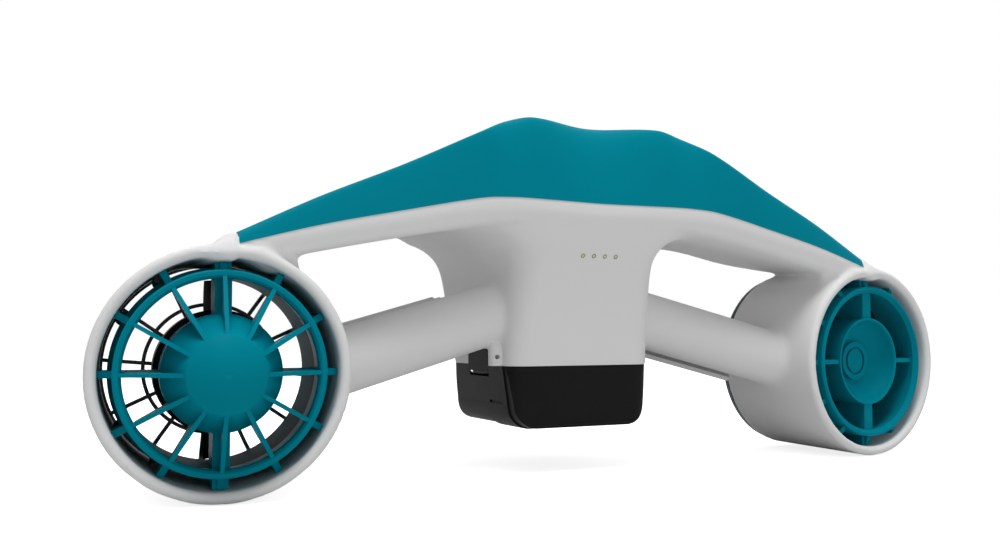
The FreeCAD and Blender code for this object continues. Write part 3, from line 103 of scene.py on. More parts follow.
# %% [markdown]
# ## From a grid of points to a piece
#
# Most pieces here are surfaces with two parameters: a section carried along a path, or a profile
# carried round an axis. The points come as one array of rows and columns, and the faces follow
# from the numbering alone, so no loop ever touches a vertex. A piece may be several such sheets,
# welded where they share a border.

# %% Grid helpers


def grid_faces(rows, columns, wrap_rows=False, wrap_columns=False):
    """Corner numbers of the quads of a grid: (r, c), (r, c+1), (r+1, c+1), (r+1, c)."""
    row = np.arange(rows if wrap_rows else rows - 1)[:, None]
    column = np.arange(columns if wrap_columns else columns - 1)[None, :]
    next_row, next_column = (row + 1) % rows, (column + 1) % columns
    corners = [row * columns + column, row * columns + next_column,
               next_row * columns + next_column, next_row * columns + column]
    return np.stack(np.broadcast_arrays(*corners), -1).reshape(-1, 4)


def build_mesh(name, sheets, weld=2e-6, tidy=True):
    """Mesh of several sheets. Each sheet is (points, faces) with points in drawing units."""
    spots, faces, start = [], [], 0
    for points, corners in sheets:
        flat = np.asarray(points, float).reshape(-1, 3)
        spots.append(flat)
        faces.append(np.asarray(corners) + start)
        start += len(flat)
    mesh = bpy.data.meshes.new(name)
    mesh.from_pydata(in_frame(np.concatenate(spots)).tolist(), [],
                     [face for block in faces for face in block.tolist()])
    if tidy:
        work = bmesh.new()
        work.from_mesh(mesh)
        bmesh.ops.remove_doubles(work, verts=work.verts, dist=weld)
        bmesh.ops.recalc_face_normals(work, faces=work.faces)
        work.to_mesh(mesh)
        work.free()
    return mesh


def sheet(points, wrap_rows=False, wrap_columns=False):
    """A grid of points with its faces."""
    points = np.asarray(points, float)
    return points, grid_faces(points.shape[0], points.shape[1], wrap_rows, wrap_columns)


def finish_piece(name, mesh, material, body, replaced=(), crease=35):
    """Smooth shading up to the crease angle, material, body, slot and the nodes it stands for."""
    mesh.shade_smooth()
    mesh.set_sharp_from_angle(angle=math.radians(crease))
    piece = bpy.data.objects.new(name, mesh)
    bpy.context.scene.collection.objects.link(piece)
    mesh.materials.append(material)
    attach(piece, body)
    if replaced:
        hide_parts(*replaced)
    print("%-24s %7d faces on %s" % (name, len(mesh.polygons), body))
    return piece


def hermite(knots, values, where):
    """Cubic curve through (knot, value) pairs; its slope at a knot is that of the neighbours."""
    knots, values = np.asarray(knots, float), np.asarray(values, float)
    before = np.maximum(np.arange(len(knots)) - 1, 0)
    after = np.minimum(np.arange(len(knots)) + 1, len(knots) - 1)
    slopes = (values[after] - values[before]) / (knots[after] - knots[before])
    where = np.clip(where, knots[0], knots[-1])
    index = np.clip(np.searchsorted(knots, where, side="right") - 1, 0, len(knots) - 2)
    step = knots[index + 1] - knots[index]
    share = (where - knots[index]) / step
    low_weight = (1 + 2 * share) * (1 - share) ** 2
    return (low_weight * values[index] + (1 - low_weight) * values[index + 1]
            + step * share * (1 - share) * ((1 - share) * slopes[index]
                                            - share * slopes[index + 1]))


def ramp(value):
    """0 below 0, 1 above 1, and a smooth cubic between."""
    value = np.clip(value, 0, 1)
    return value * value * (3 - 2 * value)


print("helpers ready")

# %% [markdown]
# ## Moulded finishes
#
# All the shells are injection moulded. Close up such a surface has a very fine grain from the
# mould, a little uneven gloss, and a colour that drifts slightly over the part. One node group
# gives colour, roughness and height for all of them, and each material sets its own strengths.
# The Principled shader stays outside the group, where its constant sockets hold their numbers.

# %% Node group for moulded plastic


def new_group(name, inputs, outputs):
    """Empty shader group with named sockets: (name, kind, default)."""
    group = bpy.data.node_groups.new(name, "ShaderNodeTree")
    for label, kind, default in inputs:
        socket = group.interface.new_socket(label, in_out="INPUT", socket_type=kind)
        socket.default_value = default
    for label, kind in outputs:
        group.interface.new_socket(label, in_out="OUTPUT", socket_type=kind)
    return group, group.nodes.new("NodeGroupInput"), group.nodes.new("NodeGroupOutput")


def add_math(tree, operation, first, second=None, third=None):
    """Math node; each operand is a socket or a number."""
    node = tree.nodes.new("ShaderNodeMath")
    node.operation = operation
    for index, value in enumerate((first, second, third)):
        if isinstance(value, (int, float)):
            node.inputs[index].default_value = value
        elif value is not None:
            tree.links.new(value, node.inputs[index])
    return node.outputs[0]


def add_noise(tree, vector, scale, detail=2.0, roughness=0.5):
    """Noise texture; scale is a socket or a number, in waves per metre."""
    node = tree.nodes.new("ShaderNodeTexNoise")
    node.inputs["Detail"].default_value = detail
    node.inputs["Roughness"].default_value = roughness
    tree.links.new(vector, node.inputs["Vector"])
    if isinstance(scale, (int, float)):
        node.inputs["Scale"].default_value = scale
    else:
        tree.links.new(scale, node.inputs["Scale"])
    return node.outputs["Fac"]


def moulded_group():
    """Colour drifts with a wide noise, roughness with a middle one, and height is a fine grain."""
    group, entry, leave = new_group("moulded_surface", [
        ("Colour", "NodeSocketColor", (0.8, 0.8, 0.8, 1)),
        ("Drift", "NodeSocketFloat", 0.04),
        ("Roughness", "NodeSocketFloat", 0.4),
        ("Gloss Change", "NodeSocketFloat", 0.06),
        ("Grain Scale", "NodeSocketFloat", 2500.0),
    ], [("Colour", "NodeSocketColor"), ("Roughness", "NodeSocketFloat"),
        ("Height", "NodeSocketFloat")])
    place = group.nodes.new("ShaderNodeTexCoord").outputs["Object"]
    wide = add_noise(group, place, 14.0, 3.0)
    middle = add_noise(group, place, 90.0, 4.0, 0.6)
    grain = add_noise(group, place, entry.outputs["Grain Scale"], 2.0, 0.7)
    swing = add_math(group, "MULTIPLY", add_math(group, "SUBTRACT", wide, 0.5),
                     entry.outputs["Drift"])
    level = add_math(group, "ADD", swing, 1.0)
    shade = group.nodes.new("ShaderNodeVectorMath")
    shade.operation = "SCALE"
    group.links.new(entry.outputs["Colour"], shade.inputs[0])
    group.links.new(level, shade.inputs["Scale"])
    change = add_math(group, "MULTIPLY", add_math(group, "SUBTRACT", middle, 0.5),
                      entry.outputs["Gloss Change"])
    group.links.new(shade.outputs[0], leave.inputs["Colour"])
    group.links.new(add_math(group, "ADD", entry.outputs["Roughness"], change),
                    leave.inputs["Roughness"])
    group.links.new(grain, leave.inputs["Height"])
    return group


MOULDED = moulded_group()
print("group", MOULDED.name)

# %% Materials


def moulded(name, colour, roughness=0.4, drift=0.05, gloss_change=0.08, grain=2500.0,
            grain_depth=0.00002, specular=0.5):
    """Principled material around the moulded group; colour is linear."""
    material = bpy.data.materials.new(name)
    material.use_nodes = True
    tree = material.node_tree
    shader = tree.nodes["Principled BSDF"]
    surface = tree.nodes.new("ShaderNodeGroup")
    surface.node_tree = MOULDED
    for label, value in (("Drift", drift), ("Roughness", roughness),
                         ("Gloss Change", gloss_change), ("Grain Scale", grain)):
        surface.inputs[label].default_value = value
    surface.inputs["Colour"].default_value = (*colour, 1)
    bump = tree.nodes.new("ShaderNodeBump")
    bump.inputs["Distance"].default_value = grain_depth
    bump.inputs["Strength"].default_value = 1.0
    tree.links.new(surface.outputs["Height"], bump.inputs["Height"])
    tree.links.new(surface.outputs["Colour"], shader.inputs["Base Color"])
    tree.links.new(surface.outputs["Roughness"], shader.inputs["Roughness"])
    tree.links.new(bump.outputs["Normal"], shader.inputs["Normal"])
    shader.inputs["Specular IOR Level"].default_value = specular
    return material


def metal(name, colour, roughness, grain=1500.0):
    """The same group on a metal: turned or stamped steel, iron or brass."""
    material = moulded(name, colour, roughness, 0.08, 0.15, grain, 0.00001)
    material.node_tree.nodes["Principled BSDF"].inputs["Metallic"].default_value = 1.0
    return material


FINISHES = {
    "white_shell": moulded("pale_shell", (0.62, 0.62, 0.625), 0.42),
    "teal_shell": moulded("teal_cover", (0.0, 0.235, 0.315), 0.42, specular=0.02),
    "teal_parts": moulded("teal_thruster", (0.0, 0.225, 0.30), 0.48, specular=0.02),
    "dark_teal": moulded("deep_teal_guard", (0.004, 0.03, 0.036), 0.5),
    "dark_plastic": moulded("near_black_plastic", (0.006, 0.006, 0.0065), 0.5, specular=0.05),
    "battery_black": moulded("battery_black", (0.009, 0.009, 0.009), 0.5, grain=1800.0,
                             grain_depth=0.00004, specular=0.04),
    "steel": metal("stainless_steel", (0.6, 0.6, 0.62), 0.3),
    "iron": metal("motor_iron", (0.25, 0.25, 0.27), 0.5),
    "brass": metal("turned_brass", (0.72, 0.5, 0.2), 0.3),
    "rubber": moulded("seal_rubber", (0.012, 0.012, 0.012), 0.8),
    "cell_wrap": moulded("cell_wrap", (0.03, 0.12, 0.4), 0.35),
    "circuit_board": moulded("board_mask", (0.01, 0.1, 0.03), 0.4),
    "gauge_lens": moulded("gauge_lens", (0.62, 0.6, 0.42), 0.3),
}
OWN_FINISHES = {
    # The tunnel wall is the nozzle's teal, given a far darker teal here: painted shade of the deep
    # duct.
    "propeller_ring": moulded("tunnel_teal_painted_shade", (0.0, 0.05, 0.065), 0.6, specular=0.03),
    "ring_screws": metal("blackened_screw", (0.03, 0.03, 0.033), 0.45),
    "light_rims": moulded("olive_rim", (0.16, 0.17, 0.03), 0.35),
}
SLOTS = {row["node"]: row["material_slot"] for row in frame["record"]["subparts"]}
for node, obj in frame["nodes"].items():
    kind = node.split("_", 1)[-1]
    for place in obj.material_slots:
        place.material = OWN_FINISHES.get(kind, FINISHES[SLOTS[node]])
print("materials", len(FINISHES))

# %% [markdown]
# ## Camera
#
# The photograph was taken from behind and to the left, a little under the height of the wing,
# with the horizon level. The ellipses of the two nozzle rings and the run of the grips give the
# place of the camera and its lens.

# %% Camera
camera = bpy.data.objects.new("camera", bpy.data.cameras.new("camera"))
bpy.context.scene.collection.objects.link(camera)
bpy.context.scene.camera = camera
camera.data.sensor_width = 36.0
camera.data.lens = 36.0
camera.data.clip_start = 0.01
camera.location = in_frame((-278.25, -441.0, 18.9)).tolist()
camera.rotation_euler = (math.radians(90 + 2.85), 0, math.radians(-26.45))
print("camera at", [round(value, 4) for value in camera.location])

# %% [markdown]
# ## Floor and light
#
# The scooter stands on a plain pale floor in soft studio light. To the camera, and in reflections,
# the background is white; the light that reaches the object comes from a dim even sky and large
# soft lamps, so a colour renders about as it is written.

# %% Stage


def seen_by_eye(tree):
    """1 for camera, glossy and transmission rays."""
    path = tree.nodes.new("ShaderNodeLightPath")
    seen = add_math(tree, "MAXIMUM", path.outputs["Is Camera Ray"],
                    path.outputs["Is Glossy Ray"])
    return add_math(tree, "MAXIMUM", seen, path.outputs["Is Transmission Ray"])


def make_world(sky):
    """Even sky of the given strength, white where it is seen."""
    world = bpy.data.worlds.new("studio")
    world.use_nodes = True
    tree = world.node_tree
    tree.nodes.clear()
    light, white = (tree.nodes.new("ShaderNodeBackground") for _ in range(2))
    light.inputs["Strength"].default_value = sky
    light.inputs["Color"].default_value = (1, 1, 1, 1)
    white.inputs["Strength"].default_value = 1.0
    white.inputs["Color"].default_value = (1, 1, 1, 1)
    mix = tree.nodes.new("ShaderNodeMixShader")
    leave = tree.nodes.new("ShaderNodeOutputWorld")
    tree.links.new(seen_by_eye(tree), mix.inputs[0])
    tree.links.new(light.outputs[0], mix.inputs[1])
    tree.links.new(white.outputs[0], mix.inputs[2])
    tree.links.new(mix.outputs[0], leave.inputs[0])
    bpy.context.scene.world = world


def floor_material():
    """White with the object's shadow where it is seen, and grey where it only throws back light."""
    material = bpy.data.materials.new("studio_floor")
    material.use_nodes = True
    tree = material.node_tree
    tree.nodes.clear()
    shown, dim = (tree.nodes.new("ShaderNodeBsdfDiffuse") for _ in range(2))
    shown.inputs["Color"].default_value = (0.9, 0.9, 0.9, 1)
    dim.inputs["Color"].default_value = (0.65, 0.65, 0.65, 1)
    lift = tree.nodes.new("ShaderNodeEmission")
    lift.inputs["Strength"].default_value = 0.8
    both = tree.nodes.new("ShaderNodeAddShader")
    mix = tree.nodes.new("ShaderNodeMixShader")
    leave = tree.nodes.new("ShaderNodeOutputMaterial")
    tree.links.new(shown.outputs[0], both.inputs[0])
    tree.links.new(lift.outputs[0], both.inputs[1])
    tree.links.new(seen_by_eye(tree), mix.inputs[0])
    tree.links.new(dim.outputs[0], mix.inputs[1])
    tree.links.new(both.outputs[0], mix.inputs[2])
    tree.links.new(mix.outputs[0], leave.inputs[0])
    return material


def add_lamp(name, place, aim, size, power):
    """Square area lamp that faces a point."""
    lamp = bpy.data.objects.new(name, bpy.data.lights.new(name, "AREA"))
    lamp.data.size = size
    lamp.data.energy = power
    lamp.location = place
    way = np.asarray(aim, float) - np.asarray(place, float)
    lamp.rotation_euler = (math.atan2(math.hypot(way[0], way[1]), -way[2]), 0,
                           math.atan2(-way[0], way[1]))
    bpy.context.scene.collection.objects.link(lamp)


make_world(0.3)
floor = bpy.data.objects.new("floor", bpy.data.meshes.new("floor"))
reach = 12.0
floor.data.from_pydata([(-reach, -reach, 0), (reach, -reach, 0), (reach, reach, 0),
                        (-reach, reach, 0)], [], [(0, 1, 2, 3)])
floor.location.z = cad_box[0][2] - 0.0005
floor.data.materials.append(floor_material())
bpy.context.scene.collection.objects.link(floor)
add_lamp("key", (-0.4, -0.6, 2.3), (0, 0, 0.1), 1.0, 30)
add_lamp("fill", (0.2, -2.4, 0.35), (0, 0, 0.1), 1.2, 9)
add_lamp("top", (0.2, 0.2, 2.2), (0, 0, 0.1), 1.4, 14)
bpy.context.scene.view_settings.view_transform = "Standard"
print("stage and lamps set")

# %% [markdown]
# ## The wing's sections
#
# The wing is told by a few sections from the middle to the tip. Each gives the near and far edge,
# the height of the colour seam at both edges, the crease and the rounded corner under the pale
# band, the belly, and height and place of the cover's ridge. Between the sections every size
# follows a smooth cubic.

# %% Wing sections
ACROSS = np.array((0.0, 38.0, 54.0, 71.0, 110.0, 150.0, 186.0))
WING = {
    "near": (-4.0, -5.0, -6.0, -7.0, -5.5, -3.0, 0.0),
    "seam": (84.0, 84.4, 84.2, 82.8, 75.0, 66.4, 56.8),
    "crease": (74.5, 74.5, 74.0, 73.0, 66.0, 58.0, 50.0),
    "corner": (71.5, 71.5, 71.0, 69.5, 62.6, 54.6, 46.6),
    "belly": (66.0, 65.8, 67.6, 71.5, 66.5, 58.0, 49.0),
    "far": (160.0, 146.0, 133.0, 118.0, 97.0, 84.0, 60.0),
    "far_seam": (72.0, 73.0, 74.5, 77.0, 74.6, 65.0, 57.5),
    "ridge": (126.1, 127.2, 123.5, 115.7, 97.1, 79.7, 62.2),
    "ridge_at": (13.8, 4.3, 4.0, -3.0, -2.0, 0.5, 4.3),
}


def wing_at(across):
    """Every size of the wing at a distance from the middle; the middle itself is level."""
    knots = np.concatenate((-ACROSS[:0:-1], ACROSS))
    return {part: hermite(knots, np.concatenate((values[:0:-1], values)), across)
            for part, values in WING.items()}


def seam_height(cut, along):
    """Straight seam line from the near to the far edge."""
    share = np.clip((along - cut["near"]) / (cut["far"] - cut["near"]), 0, 1)
    return cut["seam"] + (cut["far_seam"] - cut["seam"]) * share


def cover_height(cut, along):
    """Near face 1 - 0.6 m^2 - 0.4 m^4 up to the ridge, then 1 - 1.875 w^2 + 0.875 w^3 down."""
    rest = 1 - np.clip((along - cut["near"]) / (cut["ridge_at"] - cut["near"]), 0, 1)
    fall = np.clip((along - cut["ridge_at"]) / (cut["far"] - cut["ridge_at"]), 0, 1)
    face = cut["seam"] + (cut["ridge"] - cut["seam"]) * (1 - 0.6 * rest ** 2 - 0.4 * rest ** 4)
    back = cut["far_seam"] + (cut["ridge"] - cut["far_seam"]) * (
        1 - 1.875 * fall ** 2 + 0.875 * fall ** 3)
    return np.where(along < cut["ridge_at"], face, back)


def belly_height(cut, along):
    """Cubic through crease, rounded corner, belly and tail, and its slope."""
    knots = [cut["near"] + 0.6, cut["near"] + 9, (cut["near"] + cut["far"]) / 2, cut["far"]]
    values = [cut["crease"], cut["corner"], cut["belly"], cut["far_seam"] - 3.5]
    middle = [(values[2] - values[0]) / (knots[2] - knots[0]),
              (values[3] - values[1]) / (knots[3] - knots[1])]
    first = 1.5 * (values[1] - values[0]) / (knots[1] - knots[0]) - 0.5 * middle[0]
    last = 1.5 * (values[3] - values[2]) / (knots[3] - knots[2]) - 0.5 * middle[1]
    slopes = [first, middle[0], middle[1], last]
    height = values[0] + slopes[0] * (along - knots[0])
    slope = slopes[0] + 0 * along
    for index in range(3):
        step = knots[index + 1] - knots[index]
        share = np.clip((along - knots[index]) / step, 0, 1)
        low_weight = (1 + 2 * share) * (1 - share) ** 2
        piece = (low_weight * values[index] + (1 - low_weight) * values[index + 1]
                 + step * share * (1 - share) * ((1 - share) * slopes[index]
                                                 - share * slopes[index + 1]))
        turn = (6 * share * (share - 1) * (values[index] - values[index + 1]) / step
                + (1 - share) * (1 - 3 * share) * slopes[index]
                + share * (3 * share - 2) * slopes[index + 1])
        inside = along >= knots[index]
        height = np.where(inside, piece, height)
        slope = np.where(inside, turn, slope)
    return height, slope


print("wing span", 2 * ACROSS[-1])

# %% [markdown]
# ## The pale body as a distance field
#
# On the real scooter arms, tower, grips and ducts are one moulding, and every corner where they
# meet is a soft fillet. Separate surfaces with two parameters each would need a hand-made patch
# for every corner. A distance field does it in one go: each form gives its distance, and two forms
# are joined with a smooth minimum, which fills their corner with a fillet of a chosen size.

# %% Sizes of the body
DUCT_RADIUS = AXIS_HEIGHT
DUCT_BORE = 51.0
DUCT_LENGTH = 70.0
DUCT_TAPER = 2.0 / 67
CLEAR_RADIUS = 53.0
LIP_RADIUS = 53.6
LIP_FORWARD = 1.1
LIP_ROUND = 2.6
GRIP_RADIUS = 16.1
GRIP_HALF = 60.0
BOSS_ACROSS = 45.0
BOSS_ALONG = 33.0
BOSS_HEIGHT = 9.0
BOSS_RADIUS = 4.0
BELOW = -4.0
TOWER_TOP = 78.0
TIP = ACROSS[-1]
print("ducts", 2 * DUCT_RADIUS, "mm across, grips", 2 * GRIP_RADIUS)

# %% Fields of the separate forms


def smooth_min(first, second, size):
    """Smaller of two distances, with the corner filled over the given size."""
    blend = np.maximum(size - np.abs(first - second), 0) / np.maximum(size, 1e-6)
    return np.minimum(first, second) - blend * blend * size / 4


def smooth_max(first, second, size):
    """Larger of two distances, with the edge rounded over the given size."""
    return -smooth_min(-first, -second, size)


def thruster_place(x, y, z):
    """Distance from the right thruster's axis, and distance forward from its ring plane."""
    side = x - DUCT_CENTER
    forward = -math.sin(TOE) * side + math.cos(TOE) * y
    right = math.cos(TOE) * side + math.sin(TOE) * y
    return np.hypot(right, z), forward


def above_cover(cut, y, z):
    """Distance above the cover's surface."""
    steep = np.sqrt(1 + (cover_height(cut, y + 0.5) - cover_height(cut, y - 0.5)) ** 2)
    return (z - cover_height(cut, y)) / steep


def wing_field(cut, x, y, z):
    """Under the seam line, above the belly, between near band and far edge; a lip goes up inside
    the cover, so that no gap shows along the seam. Past the cover's tip the body itself reaches up
    to the cover's height."""
    seam = seam_height(cut, y)
    belly, slope = belly_height(cut, y)
    under = (belly - z) / np.sqrt(1 + slope ** 2)
    lean = 0.6 * (cut["seam"] - z) / (cut["seam"] - cut["crease"])
    near = cut["near"] + np.clip(lean, 0, 2) - y
    top = np.where(np.abs(x) > TIP, above_cover(cut, y, z), z - seam)
    body = smooth_max(smooth_max(under, near, 4.0), smooth_max(y - cut["far"], top, 1.0), 1.0)
    body = smooth_max(body, np.abs(x) - TIP - 7, 8.0)
    lip = np.maximum(above_cover(cut, y, z) + 0.5, cut["near"] + 0.5 - y)
    lip = np.maximum(np.maximum(lip, z - seam - 2.5), seam - 4 - z)
    lip = np.maximum(np.maximum(lip, y - cut["far"] + 3), np.abs(x) - TIP)
    return np.minimum(body, lip)


def tower_field(x, y, z):
    """Rounded rectangle in plan whose size, place and corners change with the height."""
    level = (-4, 0, 30, 52, 66, 80)
    half = hermite(level, (43.4, 43.4, 43.4, 43.4, 47, 58), z)
    near = hermite(level, (17.6, 17, 12.3, 6.8, 0.6, -3.4), z)
    far = hermite(level, (95, 97, 111.5, 124, 130, 133), z)
    corner = hermite(level, (11, 11, 13, 16, 20, 22), z)
    across = np.abs(x) - half + corner
    along = np.abs(y - (near + far) / 2) - (far - near) / 2 + corner
    flat = (np.hypot(np.maximum(across, 0), np.maximum(along, 0))
            + np.minimum(np.maximum(across, along), 0) - corner)
    return np.maximum(flat * 0.98, np.maximum(BELOW - z, z - TOWER_TOP))


def duct_field(radius, forward):
    """Tube wall with a full round at the rear and a rounded outer edge at the front."""
    outer = radius - DUCT_RADIUS + DUCT_TAPER * forward
    wall = np.maximum(smooth_max(outer, forward - DUCT_LENGTH, 4.0), DUCT_BORE - radius)
    lip = np.hypot(radius - LIP_RADIUS, forward - LIP_FORWARD) - LIP_ROUND
    return np.where(forward < LIP_FORWARD, lip, wall)


def grip_field(x, y, z):
    """Round bar along the right grip's axis."""
    along, forward, up = grip_axes()
    place = [value - GRIP_MIDDLE[index] for index, value in enumerate((x, y, z))]
    reach = sum(value * along[index] for index, value in enumerate(place))
    off = np.hypot(sum(value * forward[index] for index, value in enumerate(place)),
                   sum(value * up[index] for index, value in enumerate(place)))
    return np.maximum(off - GRIP_RADIUS, np.abs(reach) - GRIP_HALF)


def body_field(x, y, z):
    """The whole pale body. Its two halves mirror each other, so only one side is worked out."""
    x = np.abs(x)
    cut = wing_at(x)
    radius, forward = thruster_place(x, y, z)
    wing = np.maximum(wing_field(cut, x, y, z), CLEAR_RADIUS - radius)
    away = ramp((cut["seam"] - 5 - z) / 12) * ramp((y - cut["near"]) / 10) * ramp((73 - y) / 12)
    flush = ramp((x - 130) / 20) * ramp((cut["seam"] - 1 - z) / 4)
    size = 0.01 + 15 * away + 5 * flush * (1 - away) + 7 * ramp((x - TIP) / 3)
    body = smooth_min(wing, duct_field(radius, forward), size)
    inward = ramp((y - cut["near"]) / 14)
    tower = np.maximum(tower_field(x, y, z), z - seam_height(cut, y) + 1)
    body = smooth_min(body, tower, 2.5 + 15 * inward)
    body = np.where(x < TIP, np.maximum(body, above_cover(cut, y, z) + 0.5), body)
    grip = np.maximum(grip_field(x, y, z), CLEAR_RADIUS - radius)
    body = smooth_min(body, grip, 5.0)
    boss = np.hypot(x - BOSS_ACROSS, y - BOSS_ALONG)
    boss = np.where(z > BOSS_HEIGHT, np.hypot(boss, z - BOSS_HEIGHT), boss) - BOSS_RADIUS
    return smooth_min(body, np.maximum(boss, BELOW - z), 0.8)


print("middle of the tower is inside:", body_field(np.array([0.0]), np.array([50.0]),
                                                  np.array([30.0]))[0] < 0)

# %% [markdown]
# ## From the field to a mesh
#
# The surface is where the field is zero. A net is drawn through a regular grid of samples: every
# grid cell that the surface crosses gets one point, every grid edge that it crosses gets one quad
# between the four cells round it. The points are then pulled onto the surface exactly, along the
# field's slope, and evened out, so the net leaves no steps behind.

# %% Surface net


def sample(low, high, step):
    """Field values on a regular grid, one slice at a time."""
    axes = [np.arange(low[index], high[index] + step, step) for index in range(3)]
    values = np.empty([len(axis) for axis in axes], np.float32)
    y, z = np.meshgrid(axes[1], axes[2], indexing="ij")
    for index, x in enumerate(axes[0]):
        values[index] = body_field(np.full_like(y, x), y, z)
    return values


def surface_net(values):
    """Points in grid steps and quads. A cell's point is the mean of its edge crossings."""
    shape = np.array(values.shape)
    stride = np.array((shape[1] * shape[2], shape[2], 1))
    total = np.zeros((values.size, 3), np.float32)
    count = np.zeros(values.size, np.int32)
    quads = []
    for axis in range(3):
        low = [slice(1, None)] * 3
        high = [slice(1, None)] * 3
        low[axis], high[axis] = slice(0, -1), slice(1, None)
        start, end = values[tuple(low)], values[tuple(high)]
        hit = np.argwhere((start < 0) != (end < 0))
        first, last = start[tuple(hit.T)], end[tuple(hit.T)]
        hit = hit + [0 if index == axis else 1 for index in range(3)]
        place = hit.astype(np.float32)
        place[:, axis] += first / (first - last)
        around, across = (axis + 1) % 3, (axis + 2) % 3
        cell = hit @ stride
        ring = [cell - stride[around] - stride[across], cell - stride[across], cell,
                cell - stride[around]]
        for corner in ring:
            count += np.bincount(corner, minlength=values.size).astype(np.int32)
            for index in range(3):
                total[:, index] += np.bincount(corner, place[:, index], values.size)
        quad = np.stack(ring, -1)
        quads.append(np.where((first < 0)[:, None], quad, quad[:, ::-1]))
    used = np.flatnonzero(count)
    number = np.zeros(values.size, np.int64)
    number[used] = np.arange(len(used))
    return total[used] / count[used, None], number[np.concatenate(quads)]


def slope_of(points, reach=0.04):
    """Gradient of the field by central differences."""
    parts = []
    for axis in range(3):
        offset = np.zeros(3)
        offset[axis] = reach
        parts.append((body_field(*(points + offset).T) - body_field(*(points - offset).T))
                     / (2 * reach))
    return np.stack(parts, -1)


def pulled(points, rounds, limit=0.8):
    """Points moved along the slope until the field is zero there."""
    for _ in range(rounds):
        slope = slope_of(points)
        square = np.maximum((slope ** 2).sum(-1), 0.2)
        step = (body_field(*points.T) / square)[:, None] * slope
        length = np.linalg.norm(step, axis=-1, keepdims=True)
        points = points - step * np.minimum(1, limit / np.maximum(length, 1e-9))
    return points


def evened(points, quads, share=0.5):
    """Each point moves part of the way to the mean of its neighbours."""
    ends = np.concatenate([quads[:, (index, (index + 1) % 4)] for index in range(4)])
    ends = np.concatenate((ends, ends[:, ::-1]))
    many = np.bincount(ends[:, 0], minlength=len(points))[:, None]
    mean = np.stack([np.bincount(ends[:, 0], points[ends[:, 1], axis], len(points))
                     for axis in range(3)], -1) / many
    return points + share * (mean - points)


def body_net(step):
    low, high = np.array((-254.4, -10.0, -62.0)), np.array((254.4, 166.0, 90.0))
    points, quads = surface_net(sample(low, high, step))
    points = low + points.astype(float) * step
    points = pulled(points, 3)
    for _ in range(3):
        points = pulled(evened(points, quads), 2)
    return points, quads


net_points, net_quads = body_net(1.8)
print("net of", len(net_points), "points, farthest off",
      float(np.abs(body_field(*net_points.T)).max()))

# %% [markdown]
# ## Cutting the net crisply
#
# Where the battery meets the tower, and round its bay and latches, the real edges are sharp. A
# grid of samples would fray such an edge, so they are cut afterwards with a boolean modifier and
# plain tools: a slab under the parting line, the bay, the latch notches and the lanyard holes.

# %% Cutters


def rounded_prism(half, near, far, low, high, corner, middle=0.0, steps=6):
    """Outline of a rounded rectangle, carried from one height to another and closed by fans."""
    turn = np.linspace(0, math.pi / 2, steps)
    corners = []
    for index, (side, end) in enumerate(((1, 1), (-1, 1), (-1, -1), (1, -1))):
        angle = turn + index * math.pi / 2
        center = (middle + side * (half - corner),
                  (far - corner) if end > 0 else (near + corner))
        corners.append(np.stack((center[0] + corner * np.cos(angle),
                                 center[1] + corner * np.sin(angle)), -1))
    outline = np.concatenate(corners)
    center = outline.mean(0)
    rows = []
    for size, height in ((0, low), (1, low), (1, high), (0, high)):
        flat = center + (outline - center) * size
        rows.append(np.column_stack((flat, np.full(len(flat), height))))
    return sheet(rows, wrap_columns=True)


def round_bar(start, end, radius, steps=20):
    """Circle carried along a straight line, closed by fans."""
    start, end = np.asarray(start, float), np.asarray(end, float)
    way = (end - start) / np.linalg.norm(end - start)
    side = np.cross(way, (0, 0, 1) if abs(way[2]) < 0.9 else (1, 0, 0))
    side /= np.linalg.norm(side)
    up = np.cross(way, side)
    angle = np.linspace(0, 2 * math.pi, steps, endpoint=False)[:, None]
    ring = radius * (np.cos(angle) * side + np.sin(angle) * up)
    return sheet([np.tile(start, (steps, 1)), start + ring, end + ring, np.tile(end, (steps, 1))],
                 wrap_columns=True)


def cut_with(piece, sheets):
    """Takes the closed sheets away from a piece and drops the tool."""
    tool = bpy.data.objects.new("cutter", build_mesh("cutter", sheets))
    bpy.context.scene.collection.objects.link(tool)
    cut = piece.modifiers.new("cut", "BOOLEAN")
    cut.operation = "DIFFERENCE"
    cut.solver = "MANIFOLD"
    cut.object = tool
    bpy.context.view_layer.update()
    changed = bpy.data.meshes.new_from_object(
        piece.evaluated_get(bpy.context.evaluated_depsgraph_get()))
    piece.modifiers.clear()
    old = piece.data
    piece.data = changed
    changed.name = piece.name
    bpy.data.meshes.remove(old)
    bpy.data.objects.remove(tool)
    return len(changed.polygons)


HOLE_ACROSS, HOLE_HEIGHT, HOLE_RADIUS = 45.8, 4.7, 1.25


def lanyard_bar(sign):
    """Round bar through a lanyard boss, twice as long as the boss is wide."""
    ends = [(HOLE_ACROSS * sign, BOSS_ALONG + way * 2 * BOSS_RADIUS, HOLE_HEIGHT)
            for way in (-1, 1)]
    return round_bar(*ends, HOLE_RADIUS)


